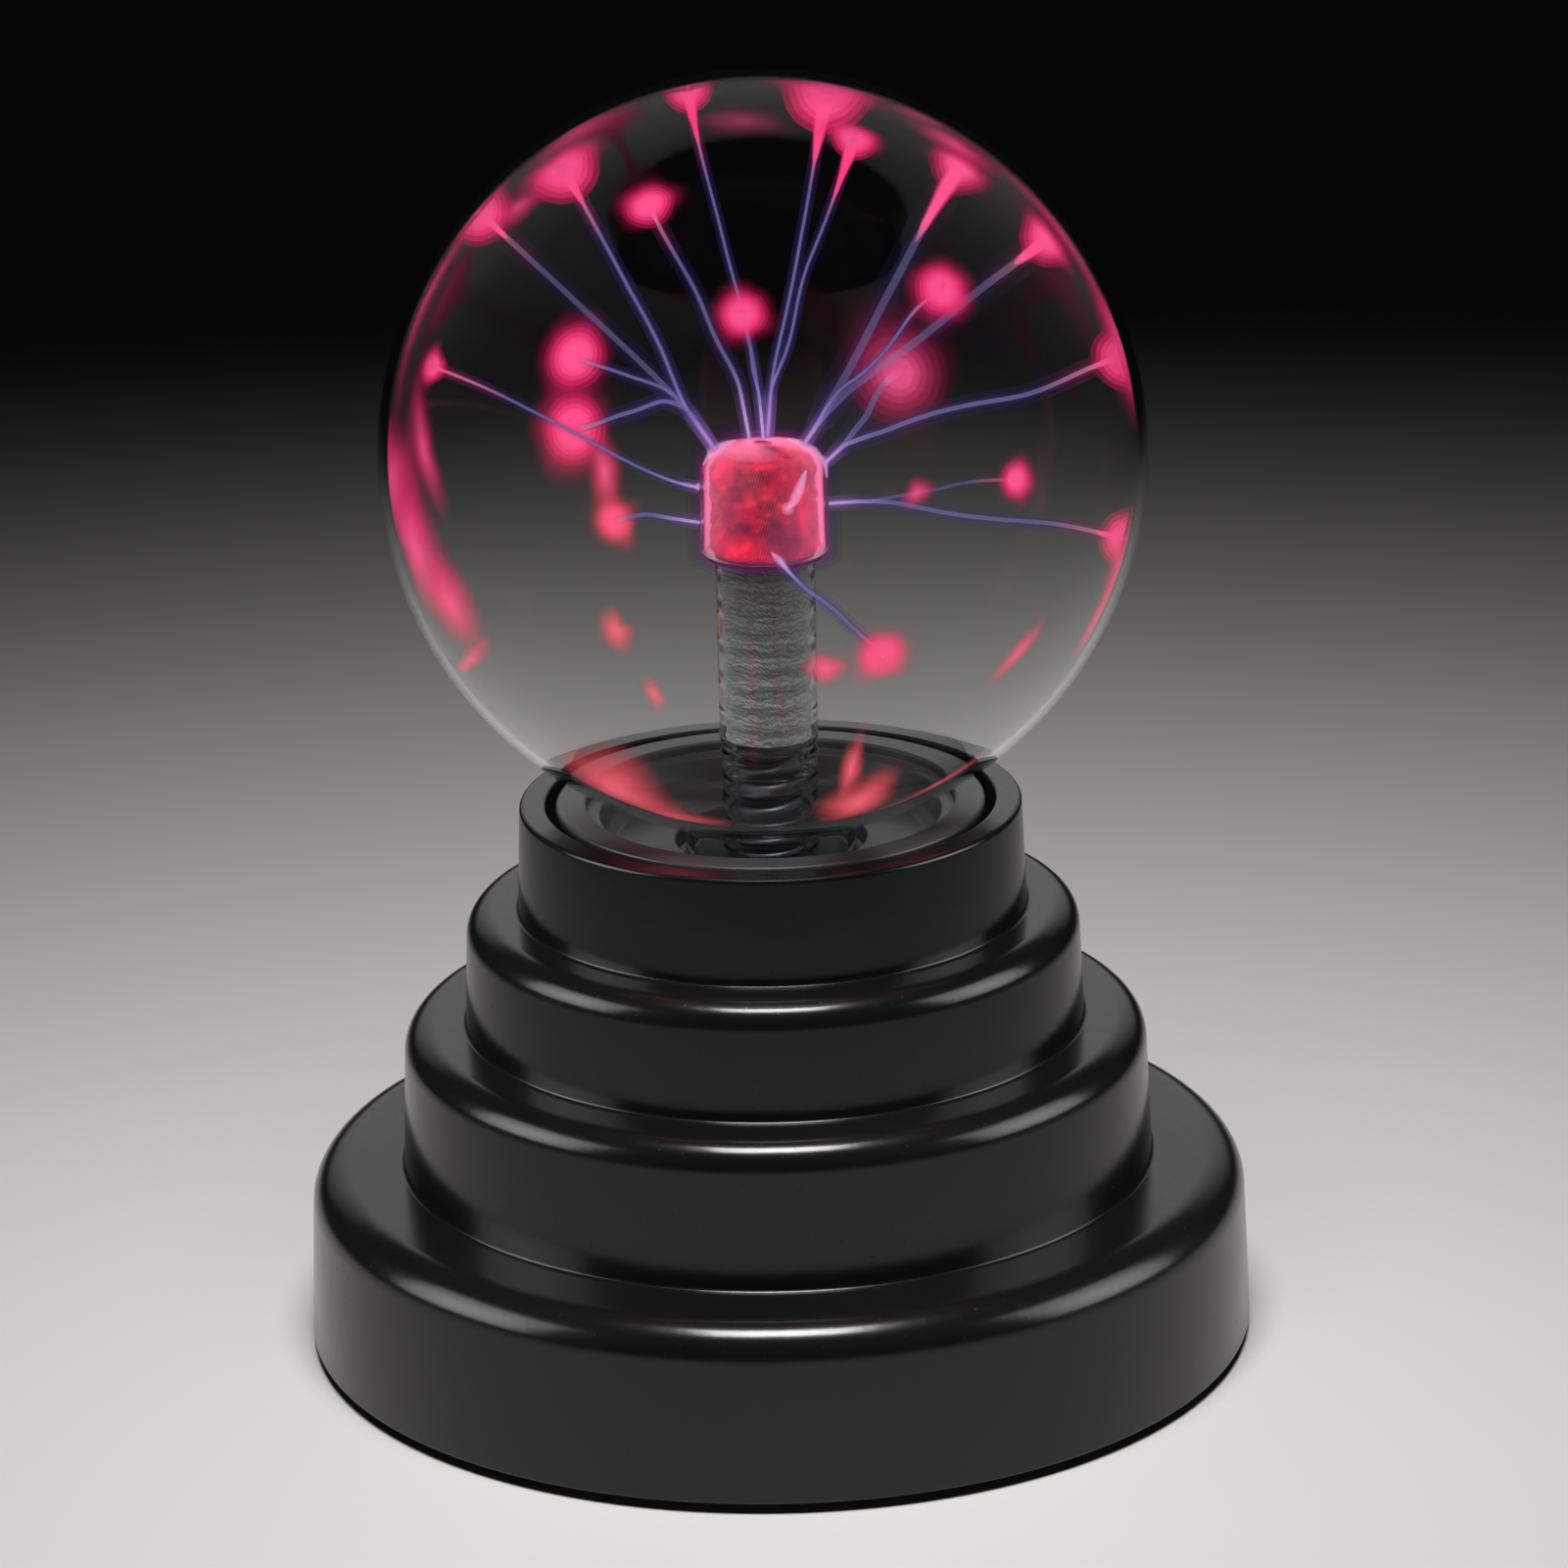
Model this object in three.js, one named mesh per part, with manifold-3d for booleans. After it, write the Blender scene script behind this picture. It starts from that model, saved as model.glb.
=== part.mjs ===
// A 3 inch plasma ball on a four-step base: a gas-filled glass globe with a central electrode,
// a moulded housing, and the drive board, cells, switch and power inlet that the base holds.
// Millimetres, +Z up, front towards -Y. The origin is on the table, under the middle of the base.
import * as THREE from 'three';
import { mergeVertices } from 'three/addons/utils/BufferGeometryUtils.js';
import Module from 'manifold-3d';

const wasm = await Module();
wasm.setup();

// ---- Driving dimensions ----
const FOOT_STAND = 1; // how far the rubber feet stand below the base
const WALL = 2.1; // moulded wall of the housing
const DRAFT = 0.043; // how much a step's wall widens for each mm downwards
const GAP = 0.3; // air left between pieces that touch

// The four steps of the base, from the widest: radius at the top edge, height, edge rounding.
const STEPS = [
  { radius: 47.5, top: 18.9, round: 3.8 },
  { radius: 37.6, top: 33.7, round: 2.9 },
  { radius: 30.9, top: 45.6, round: 2.7 },
  { radius: 25.25, top: 56.5, round: 0.4 },
];
const SKIRT = STEPS[0];
const COLLAR = STEPS[3];

const GLOBE_RADIUS = 38;
const GLOBE_CENTRE = 92.2;
const GLASS = 0.8;
const NECK_RADIUS = 8.6;
const NECK_FOOT = 38.3;
const NECK_BLEND = 1.6; // fillet where the neck meets the globe
const STEM_RADIUS = 5;
const STEM_BORE = 4.5;
const STEM_FOOT = 35.9;
const EXHAUST_TIP = { x: -6.9, radius: 1.1, low: 31.5 };
const BULB_RADIUS = 6.4;
const BULB_FOOT = 82;
const BULB_TOP = 94.1;
const BULB_WALL = 0.7;
const FEED_SPRING = { radius: 2.8, wire: 0.7, low: 40.2, high: 81.1, turns: 18 };
const CORE_SLEEVE = { bore: 3.6, valley: 4.18, ridge: 4.38, low: 63.2, ribs: 9 };
const BOOT = { low: 32.2, radius: 5.2, top: 38.8 };

const SHELF_TOP = 50.5; // the shelf in the collar that carries the cup
const SHELF_THICK = 2;
const SHELF_BORE = 14.5;
const CUP_RADIUS = 21.6;
const CUP_MOUTH = 18.5;
const CUP_LEDGE = 17.2; // a narrow ledge just inside the mouth
const CUP_FLOOR = 52.4;
const CUP_BORE = 9.6;
const CUP_TUBE = { inner: 11.1, outer: 13, low: 41.5 }; // hangs below the cup, round the grommet
const GROMMET = { inner: 8.9, outer: 10.9, low: 43 };
const RIM_BORE = CUP_RADIUS + 1; // leaves the open groove round the cup

const COVER_RADIUS = 45.6;
const COVER_THICK = 2;
const COVER_BOTTOM = FOOT_STAND;
const COVER_TOP = COVER_BOTTOM + COVER_THICK;

const CELL_LENGTH = 44.5; // AAA
const CELL_RADIUS = 5.25;
const CELL_PITCH = 10.9;
const CELL_COUNT = 4;
const BAY = { halfX: 22.4, halfY: 25.5, floor: COVER_BOTTOM + 1.8, roof: 15, wall: 2 };
const BAY_ROOF_TOP = BAY.roof + 1.5;
const CELL_AXIS = BAY.floor + CELL_RADIUS + 0.35;
const DOOR = { halfX: 24, halfY: 26.5, thick: 1.6 };
const DOOR_TAB = { x: 13, half: 3, thick: 1, reach: -29 };
const DOOR_TONGUE = { half: 5, reach: 3.8, thick: 1.1 };
const DOOR_GRIPS = { half: 8, pitch: 1.6, width: 0.6, depth: 0.4 };

const BOARD = { radius: 31, bottom: 19.6, thick: 1.6 };
const BOARD_TOP = BOARD.bottom + BOARD.thick;

const REAR_PANEL = { y: 44, back: 41.8, halfX: 17.5, low: 4.6, high: 14.4 };
const REAR_AXIS = 9.5; // height of the switch and of the inlet
const SWITCH_X = -8;
const SWITCH_TRAVEL = 3;
const SWITCH_MIDDLE = SWITCH_X - SWITCH_TRAVEL / 2;
const KNOB_HALF = 2;
const SLOT_HALF_HEIGHT = 1.8;
const INLET_X = 8;
const INLET = { back: 32.5, half: 4.5, halfHeight: 4.2, barrel: 3.7, bore: 2.8, pin: 0.8 };

const COVER_SCREW = {
  circle: 40.5, angles: [45, 135, 225, 315], size: { head: 2.8, headHeight: 1.7, shank: 1.15, length: 9 },
};
const CUP_SCREW = {
  circle: 20.05, angles: [30, 150, 270], size: { head: 2, headHeight: 1.3, shank: 0.95, length: 6 },
};
const BOARD_SCREW = { head: 2, headHeight: 1.3, shank: 0.9, length: 4.6 };
const BOARD_POST = { x: 18, y: 20, radius: 2.6 };
const FOOT = { circle: 38, radius: 4.5, recess: 1, angles: [0, 90, 180, 270] };

// ---- Materials ----
const finish = (color, roughness, metalness = 0, extra = {}) =>
  new THREE.MeshStandardMaterial({ color, roughness, metalness, ...extra });
const PAINT = {
  housing: finish(0x0c0d0e, 0.18),
  cup: finish(0x131415, 0.3),
  glass: finish(0xe8eef0, 0.03, 0, { transparent: true, opacity: 0.3 }),
  electrode: finish(0xd8233f, 0.4),
  wool: finish(0x6d6a68, 0.5, 0.8),
  steel: finish(0xb9bcbd, 0.3, 1),
  sleeve: finish(0x7d8280, 0.7),
  rubber: finish(0x1b1b1b, 0.85),
  cover: finish(0x101112, 0.55),
  cell: finish(0x3b4a57, 0.35, 0.2),
  board: finish(0x1f5a36, 0.5),
  ferrite: finish(0x35322f, 0.6),
  winding: finish(0x9a5a2a, 0.4, 0.6),
  part: finish(0x161616, 0.45),
  sink: finish(0xa8abad, 0.35, 1),
  can: finish(0x1f2f52, 0.35),
  film: finish(0x8f2f22, 0.4),
  red: finish(0xa01c1c, 0.5),
  black: finish(0x141414, 0.5),
  white: finish(0xd8d6cf, 0.5),
};

// ---- Solids ----
const solidOf = (geometry) => {
  const plain = geometry.index ? geometry.toNonIndexed() : geometry.clone();
  plain.deleteAttribute('normal');
  plain.deleteAttribute('uv');
  const merged = mergeVertices(plain, 1e-4);
  const vertProperties = merged.attributes.position.array;
  const triVerts = new Uint32Array(merged.index.array);
  return new wasm.Manifold(new wasm.Mesh({ numProp: 3, vertProperties, triVerts }));
};

const geometryOf = (solid) => {
  const { numProp, numVert, vertProperties, triVerts } = solid.getMesh();
  const positions = new Float32Array(numVert * 3);
  for (let i = 0; i < numVert; i++) {
    positions.set(vertProperties.subarray(i * numProp, i * numProp + 3), i * 3);
  }
  const geometry = new THREE.BufferGeometry();
  geometry.setAttribute('position', new THREE.BufferAttribute(positions, 3));
  geometry.setIndex(new THREE.BufferAttribute(triVerts, 1));
  return geometry;
};

const join = (...solids) => solids.reduce((whole, piece) => whole.add(piece));
const cut = (whole, ...tools) => tools.reduce((rest, tool) => rest.subtract(tool), whole);

// A solid of revolution about Z. The outline is a list of [radius, height] that runs
// anticlockwise, and either closes on itself or starts and ends on the axis.
const turned = (outline, segments) => {
  const points = outline.map(([r, z]) => new THREE.Vector2(r, z));
  const first = points[0];
  const last = points[points.length - 1];
  if (first.x > 0 || last.x > 0) points.push(first.clone());
  return solidOf(new THREE.LatheGeometry(points, segments).rotateX(Math.PI / 2));
};

const cylinder = (radius, low, high, segments = 16) =>
  turned([[0, low], [radius, low], [radius, high], [0, high]], segments);

const tube = (inner, outer, low, high) =>
  turned([[outer, low], [outer, high], [inner, high], [inner, low]], 24);

const box = (x0, x1, y0, y1, z0, z1) =>
  solidOf(
    new THREE.BoxGeometry(x1 - x0, y1 - y0, z1 - z0).translate((x0 + x1) / 2, (y0 + y1) / 2, (z0 + z1) / 2),
  );

// Points of an arc in an outline, from one angle to another in degrees.
const arc = (r, z, radius, from, to, steps) =>
  Array.from({ length: steps + 1 }, (_, i) => {
    const a = THREE.MathUtils.degToRad(from + ((to - from) * i) / steps);
    return [r + radius * Math.cos(a), z + radius * Math.sin(a)];
  });

const circleAt = (radius, degrees) => {
  const a = THREE.MathUtils.degToRad(degrees);
  return [radius * Math.cos(a), radius * Math.sin(a)];
};

const disc = (radius, sides) => {
  const shape = new THREE.Shape();
  for (let i = 0; i < sides; i++) {
    const [x, y] = circleAt(radius, (360 * i) / sides);
    if (i) shape.lineTo(x, y);
    else shape.moveTo(x, y);
  }
  return shape;
};

const swept = (path, radius, steps, sides = 6) =>
  solidOf(new THREE.ExtrudeGeometry(disc(radius, sides), { extrudePath: path, steps, bevelEnabled: false }));

const wire = (points, radius, steps) =>
  swept(new THREE.CatmullRomCurve3(points.map((p) => new THREE.Vector3(...p))), radius, steps);

class Coil extends THREE.Curve {
  constructor({ turns, low, high, radiusLow, radiusHigh }) {
    super();
    Object.assign(this, { turns, low, high, radiusLow, radiusHigh });
  }

  getPoint(t, target = new THREE.Vector3()) {
    const a = t * this.turns * Math.PI * 2;
    const r = THREE.MathUtils.lerp(this.radiusLow, this.radiusHigh, t);
    const z = THREE.MathUtils.lerp(this.low, this.high, t);
    return target.set(r * Math.cos(a), r * Math.sin(a), z);
  }
}

const plasmaBall = new THREE.Group();
const place = (name, solid, material) => {
  const mesh = new THREE.Mesh(geometryOf(solid), material);
  mesh.name = name;
  plasmaBall.add(mesh);
};

// ---- Housing: four steps in one moulding, with screw bosses, a cup shelf and a rear panel ----
const stepRadius = (step, z) => step.radius + DRAFT * (step.top - z);

const housingOutline = () => {
  const outside = STEPS.flatMap((step, i) => {
    const foot = i ? STEPS[i - 1].top : FOOT_STAND;
    const { radius, top, round } = step;
    const corner = arc(radius - round, top - round, round, 0, 90, round > 1 ? 3 : 1);
    return [[stepRadius(step, foot), foot], ...corner];
  });
  const collarPocket = [
    [RIM_BORE, COLLAR.top],
    [RIM_BORE, SHELF_TOP],
    [SHELF_BORE, SHELF_TOP],
    [SHELF_BORE, SHELF_TOP - SHELF_THICK],
    [COLLAR.radius - WALL, SHELF_TOP - SHELF_THICK],
  ];
  const inside = STEPS.map((step, i) => {
    const foot = i ? STEPS[i - 1].top - WALL : FOOT_STAND;
    const head = [step.radius - WALL, step.top - WALL];
    const base = [stepRadius(step, foot) - WALL, foot];
    return step === COLLAR ? [base] : [head, base];
  }).reverse().flat();
  return [...outside, ...collarPocket, ...inside];
};

const coverBoss = (angle, radius, low, high) => {
  const [x, y] = circleAt(COVER_SCREW.circle, angle);
  return cylinder(radius, low, high, 12).translate([x, y, 0]);
};

const makeHousing = () => {
  const shell = turned(housingOutline(), 64);
  const inside = cylinder(SKIRT.radius - 1, FOOT_STAND, SKIRT.top - 1, 64);
  const padHalf = REAR_PANEL.halfX + 2.5;
  const pad = box(-padHalf, padHalf, REAR_PANEL.back, SKIRT.radius, COVER_TOP + GAP, SKIRT.top - 1);
  const bossRadius = 3.5;
  const bossFoot = COVER_TOP + COVER_THICK + GAP;
  const pilotRadius = COVER_SCREW.size.shank + 0.15;
  const bosses = COVER_SCREW.angles.map((a) => coverBoss(a, bossRadius, bossFoot, SKIRT.top - 1));
  const pilots = COVER_SCREW.angles.map((a) => coverBoss(a, pilotRadius, 0, SKIRT.top - 4));
  const cupHoles = CUP_SCREW.angles.map((angle) => {
    const [x, y] = circleAt(CUP_SCREW.circle, angle);
    return cylinder(CUP_SCREW.size.shank + 0.35, SHELF_TOP - 3, SHELF_TOP + 1, 12).translate([x, y, 0]);
  });
  const recess = box(
    -REAR_PANEL.halfX, REAR_PANEL.halfX, REAR_PANEL.y, SKIRT.radius + 4, REAR_PANEL.low, REAR_PANEL.high,
  );
  const slotHalf = SWITCH_TRAVEL / 2 + KNOB_HALF + GAP;
  const inner = REAR_PANEL.back - 1.8;
  const outer = SKIRT.radius + 2.5;
  const slot = box(
    SWITCH_MIDDLE - slotHalf, SWITCH_MIDDLE + slotHalf, inner, outer,
    REAR_AXIS - SLOT_HALF_HEIGHT, REAR_AXIS + SLOT_HALF_HEIGHT,
  );
  const mouth = cylinder(INLET.barrel + GAP, inner, outer, 20)
    .rotate([-90, 0, 0])
    .translate([INLET_X, 0, REAR_AXIS]);
  return cut(join(shell, pad.intersect(inside), ...bosses), ...pilots, ...cupHoles, recess, slot, mouth);
};

// ---- Cup that carries the globe, with its sleeve and the rubber grommet round the neck ----
const makeCup = () => {
  const bottom = SHELF_TOP + GAP;
  const body = turned(
    [
      [CUP_RADIUS, bottom], [CUP_RADIUS, COLLAR.top - 0.4], [CUP_RADIUS - 0.4, COLLAR.top],
      [CUP_MOUTH + 0.3, COLLAR.top], [CUP_MOUTH, COLLAR.top - 0.3], [CUP_MOUTH, COLLAR.top - 1.1],
      [CUP_LEDGE, COLLAR.top - 1.3], [CUP_LEDGE - 0.6, CUP_FLOOR + 0.8], [CUP_LEDGE - 1.6, CUP_FLOOR],
      [CUP_BORE, CUP_FLOOR], [CUP_BORE, bottom], [CUP_TUBE.inner, bottom], [CUP_TUBE.inner, CUP_TUBE.low],
      [CUP_TUBE.outer, CUP_TUBE.low], [CUP_TUBE.outer, bottom],
    ],
    36,
  );
  const pilots = CUP_SCREW.angles.map((angle) => {
    const [x, y] = circleAt(CUP_SCREW.circle, angle);
    return cylinder(CUP_SCREW.size.shank + 0.2, bottom - 1, COLLAR.top - 1.4, 12).translate([x, y, 0]);
  });
  return cut(body, ...pilots);
};

const makeGrommet = () => tube(GROMMET.inner, GROMMET.outer, GROMMET.low, SHELF_TOP + 0.1);

// ---- Glass: globe with its neck, and the stem that runs up the middle to the electrode ----
const globeOutline = () => {
  // Where a circle of the blend radius touches both the globe and the neck, for each face of the glass.
  const face = (globe, neck, round) => {
    const r = neck + round;
    const z = GLOBE_CENTRE - Math.sqrt((globe + round) ** 2 - r ** 2);
    const turn = THREE.MathUtils.radToDeg(Math.atan2(GLOBE_CENTRE - z, r));
    return { r, z, turn };
  };
  const outer = face(GLOBE_RADIUS, NECK_RADIUS, NECK_BLEND);
  const inner = face(GLOBE_RADIUS - GLASS, NECK_RADIUS - GLASS, NECK_BLEND + GLASS);
  return [
    [NECK_RADIUS, NECK_FOOT],
    ...arc(outer.r, outer.z, NECK_BLEND, 180, 180 - outer.turn, 2),
    ...arc(0, GLOBE_CENTRE, GLOBE_RADIUS, -outer.turn, 90, 11).slice(1, -1),
    [0, GLOBE_CENTRE + GLOBE_RADIUS],
    [0, GLOBE_CENTRE + GLOBE_RADIUS - GLASS],
    ...arc(0, GLOBE_CENTRE, GLOBE_RADIUS - GLASS, 90, -inner.turn, 9).slice(1, -1),
    ...arc(inner.r, inner.z, NECK_BLEND + GLASS, 180 - inner.turn, 180, 2),
    [NECK_RADIUS - GLASS, NECK_FOOT],
  ];
};

const makeGlobe = () => turned(globeOutline(), 48);

const makeStem = () => {
  const flare = NECK_FOOT - GAP;
  const body = turned(
    [
      [STEM_RADIUS, STEM_FOOT], [STEM_RADIUS, flare - 1.6], [NECK_RADIUS, flare - 1], [NECK_RADIUS, flare],
      [STEM_RADIUS + 0.8, flare + 0.4], [STEM_RADIUS, flare + 2], [STEM_RADIUS, BULB_FOOT - GAP],
      [STEM_BORE, BULB_FOOT - GAP], [STEM_BORE, STEM_FOOT],
    ],
    16,
  );
  const { x, radius, low } = EXHAUST_TIP;
  const tip = turned(
    [[0, low], [radius * 0.6, low + 0.7], [radius, low + 2.5], [radius, flare - 0.6], [0, flare - 0.6]],
    8,
  );
  return join(body, tip.translate([x, 0, 0]));
};

// The blown bulb over the top of the stem, and the steel wool inside it that carries the high voltage.
const makeBulb = () => {
  const crown = (radius, top, round, steps) => [
    ...arc(radius - round, top - round - 0.9, round, 0, 70, steps),
    [radius * 0.35, top - 0.12],
    [0, top],
  ];
  return turned(
    [
      [0, BULB_TOP - BULB_WALL],
      ...crown(BULB_RADIUS - BULB_WALL, BULB_TOP - BULB_WALL, 2.3, 3).slice(0, -1).reverse(),
      [BULB_RADIUS - BULB_WALL, BULB_FOOT + BULB_WALL],
      [STEM_BORE, BULB_FOOT + BULB_WALL],
      [STEM_BORE, BULB_FOOT],
      [BULB_RADIUS, BULB_FOOT],
      ...crown(BULB_RADIUS, BULB_TOP, 3, 3),
    ],
    20,
  );
};

const makeWool = () => {
  const low = BULB_FOOT + 1;
  const high = BULB_TOP - 1.9;
  const side = BULB_RADIUS - 1.1;
  return turned(
    [[0, low], [side - 0.6, low], [side, low + 1], [side, high - 2.4], [side - 2.2, high], [0, high]],
    12,
  );
};

const makeFeedSpring = () => {
  const { radius, wire: wireRadius, low, high, turns } = FEED_SPRING;
  const coil = new Coil({ turns, low, high, radiusLow: radius, radiusHigh: radius });
  return swept(coil, wireRadius, turns * 6, 5);
};

// A woven sleeve over the upper half of the spring, ribbed where it grips the turns.
const makeCoreSleeve = () => {
  const { bore, valley, ridge, low, ribs } = CORE_SLEEVE;
  const high = BULB_FOOT - GAP - 0.2;
  const pitch = (high - low) / ribs;
  const outside = Array.from({ length: ribs }, (_, i) => [
    [valley, low + i * pitch],
    [ridge, low + (i + 0.5) * pitch],
  ]).flat();
  return turned([...outside, [valley, high], [bore, high], [bore, low]], 20);
};

// The insulating boot that plugs the foot of the stem, where the high-voltage lead comes in.
const makeBoot = () => {
  const { low, radius, top } = BOOT;
  const plug = STEM_BORE - GAP;
  const lip = STEM_FOOT - GAP;
  return turned(
    [[0, low], [radius - 1, low], [radius, low + 1], [radius, lip], [plug, lip], [plug, top], [0, top]],
    16,
  );
};

// ---- Bottom cover with the battery bay ----
const makeCover = () => {
  const outerX = BAY.halfX + BAY.wall + 0.2;
  const outerY = BAY.halfY + BAY.wall;
  const plate = cylinder(COVER_RADIUS, COVER_BOTTOM, COVER_TOP, 48);
  const bay = box(-outerX, outerX, -outerY, outerY, COVER_BOTTOM, BAY_ROOF_TOP);
  const bosses = COVER_SCREW.angles.map((a) => coverBoss(a, 4.2, COVER_BOTTOM, COVER_TOP + COVER_THICK));
  const postAt = (radius, low, high) =>
    [-1, 1].flatMap((i) =>
      [-1, 1].map((j) => cylinder(radius, low, high, 12).translate([i * BOARD_POST.x, j * BOARD_POST.y, 0])),
    );
  const posts = postAt(BOARD_POST.radius, BAY_ROOF_TOP - 1, BOARD.bottom - 0.1);
  const solid = join(plate, bay, ...bosses, ...posts);

  const cavity = box(-BAY.halfX, BAY.halfX, -BAY.halfY, BAY.halfY, COVER_BOTTOM - 1, BAY.roof);
  const doorway = box(
    -DOOR.halfX - 0.2, DOOR.halfX + 0.2, -DOOR.halfY - GAP, DOOR.halfY + GAP, COVER_BOTTOM - 1, BAY.floor,
  );
  const latchHalf = DOOR_TONGUE.half + 0.4;
  const latchNotch = box(
    -latchHalf, latchHalf, DOOR.halfY, DOOR.halfY + DOOR_TONGUE.reach + 0.4,
    COVER_BOTTOM - 1, COVER_BOTTOM + DOOR_TONGUE.thick + GAP,
  );
  const slotHalf = DOOR_TAB.half + 0.4;
  const tabSlots = [-DOOR_TAB.x, DOOR_TAB.x].map((x) =>
    box(x - slotHalf, x + slotHalf, -outerY - 1, -BAY.halfY + 1, BAY.floor - 0.4, BAY.floor + 2.8),
  );
  const leadSlots = [-1.5, 1.5].map((i) =>
    box(i * CELL_PITCH - 2.4, i * CELL_PITCH + 2.4, BAY.halfY - 1, outerY + 1, 7.4, 10.4),
  );
  const { head, shank } = COVER_SCREW.size;
  const heads = COVER_SCREW.angles.map((a) => coverBoss(a, head + GAP, COVER_BOTTOM - 1, COVER_BOTTOM + 2.2));
  const shanks = COVER_SCREW.angles.map((a) => coverBoss(a, shank + 0.55, COVER_BOTTOM, COVER_TOP + 4));
  const footPockets = FOOT.angles.map((angle) => {
    const [x, y] = circleAt(FOOT.circle, angle);
    return cylinder(FOOT.radius + 0.2, COVER_BOTTOM - 1, COVER_BOTTOM + FOOT.recess, 16).translate([x, y, 0]);
  });
  return cut(
    solid, cavity, doorway, latchNotch, ...tabSlots, ...leadSlots, ...heads, ...shanks, ...footPockets,
    ...postAt(BOARD_SCREW.shank + 0.15, BAY_ROOF_TOP - 1, BOARD.bottom + 1),
  );
};

// The door pivots on the lower front edge of its doorway, where two tabs hook over the cover.
const makeDoor = () => {
  const low = COVER_BOTTOM;
  const high = low + DOOR.thick;
  const plate = box(-DOOR.halfX, DOOR.halfX, -DOOR.halfY, DOOR.halfY, low, high);
  const tongueTop = low + DOOR_TONGUE.thick;
  const tongue = box(
    -DOOR_TONGUE.half, DOOR_TONGUE.half, DOOR.halfY - 1, DOOR.halfY + DOOR_TONGUE.reach, low, tongueTop,
  );
  const tabFoot = COVER_TOP + 0.2;
  const tabTop = tabFoot + DOOR_TAB.thick;
  const tabY = -BAY.halfY + 0.1;
  const tabs = [-DOOR_TAB.x, DOOR_TAB.x].flatMap((x) => [
    box(x - DOOR_TAB.half, x + DOOR_TAB.half, tabY, tabY + DOOR_TAB.thick, low + 1, tabTop),
    box(x - DOOR_TAB.half, x + DOOR_TAB.half, DOOR_TAB.reach, tabY + DOOR_TAB.thick, tabFoot, tabTop),
  ]);
  const grips = [-2, -1, 0, 1, 2].map((i) => {
    const { half, pitch, width, depth } = DOOR_GRIPS;
    const y = DOOR.halfY - 8 + i * pitch;
    return box(-half, half, y - width / 2, y + width / 2, low - 1, low + depth);
  });
  return cut(join(plate, tongue, ...tabs), ...grips);
};

const makeFoot = (angle) => {
  const [x, y] = circleAt(FOOT.circle, angle);
  const top = COVER_BOTTOM + FOOT.recess - 0.1;
  const outline = [[0, 0], [FOOT.radius - 0.4, 0], [FOOT.radius, 0.4], [FOOT.radius, top], [0, top]];
  return turned(outline, 16).translate([x, y, 0]);
};

// ---- Fasteners: a self-tapping screw that points up, with a cross recess in its head ----
const makeScrew = ({ head, headHeight, shank, length }) => {
  const body = turned(
    [
      [0, 0], [head * 0.8, 0], [head, headHeight * 0.45], [head, headHeight], [shank, headHeight],
      [shank, headHeight + length - 1], [0, headHeight + length],
    ],
    10,
  );
  const bar = head * 0.6;
  const depth = headHeight * 0.55;
  return cut(body, box(-bar, bar, -0.3, 0.3, -1, depth), box(-0.3, 0.3, -bar, bar, -1, depth));
};

// ---- Cells and their contacts ----
const cellX = (index) => (index - (CELL_COUNT - 1) / 2) * CELL_PITCH;
const plusAtRear = (index) => index % 2 === 0;

// A AAA cell along Y, with its plus end towards +Y.
const makeCell = () => {
  const half = CELL_LENGTH / 2;
  const outline = [
    [0, -half], [CELL_RADIUS - 0.5, -half], [CELL_RADIUS, -half + 0.5], [CELL_RADIUS, half - 1.4],
    [CELL_RADIUS - 0.5, half - 0.9], [1.9, half - 0.9], [1.9, half], [0, half],
  ];
  return turned(outline, 16).rotate([-90, 0, 0]);
};

// A contact plate at one end of the bay (side is 1 at the rear, -1 at the front) for the cells listed.
const makeContact = (cells, side) => {
  const plateY = BAY.halfY - 0.2;
  const thick = 0.4;
  const span = (a, b) => [Math.min(a * side, b * side), Math.max(a * side, b * side)];
  const [y0, y1] = span(plateY - thick, plateY);
  const xs = cells.map(cellX);
  const plateHalf = 3.6;
  const solids = [
    box(Math.min(...xs) - plateHalf, Math.max(...xs) + plateHalf, y0, y1, CELL_AXIS - 2.8, CELL_AXIS + 4.2),
  ];
  for (const cell of cells) {
    const meetsPlus = plusAtRear(cell) === (side > 0);
    const reach = plateY - CELL_LENGTH / 2 - GAP;
    const coilWire = 0.35;
    const coil = new Coil({ turns: 2.5, low: 0, high: reach - coilWire, radiusLow: 3, radiusHigh: 2.1 });
    const piece = meetsPlus ? cylinder(1.5, -0.2, reach, 10) : swept(coil, coilWire, 15, 5);
    const y = side * (plateY - thick / 2);
    solids.push(piece.rotate([side * 90, 0, 0]).translate([cellX(cell), y, CELL_AXIS]));
  }
  if (cells.length === 1) {
    const [t0, t1] = span(plateY - thick, BAY.halfY + BAY.wall + 1.6);
    solids.push(box(xs[0] - 1.6, xs[0] + 1.6, t0, t1, CELL_AXIS, CELL_AXIS + thick));
  }
  return join(...solids);
};

// ---- Power switch and inlet on the rear panel ----
const makeSwitchBody = () => {
  const middle = SWITCH_MIDDLE;
  const front = REAR_PANEL.back - GAP;
  const ears = box(middle - 6, middle + 6, front - 0.6, front, REAR_AXIS - 2.6, REAR_AXIS + 2.6);
  const can = box(middle - 4.6, middle + 4.6, front - 5, front - 0.5, REAR_AXIS - 2.8, REAR_AXIS + 2.8);
  const window = box(middle - 3.8, middle + 3.8, front - 1.4, front + 1, REAR_AXIS - 1.6, REAR_AXIS + 1.6);
  const pins = [-2.5, 0, 2.5].map((x) =>
    box(middle + x - 0.4, middle + x + 0.4, front - 7.4, front - 4.8, REAR_AXIS - 0.25, REAR_AXIS + 0.25),
  );
  return join(cut(join(ears, can), window), ...pins);
};

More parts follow.
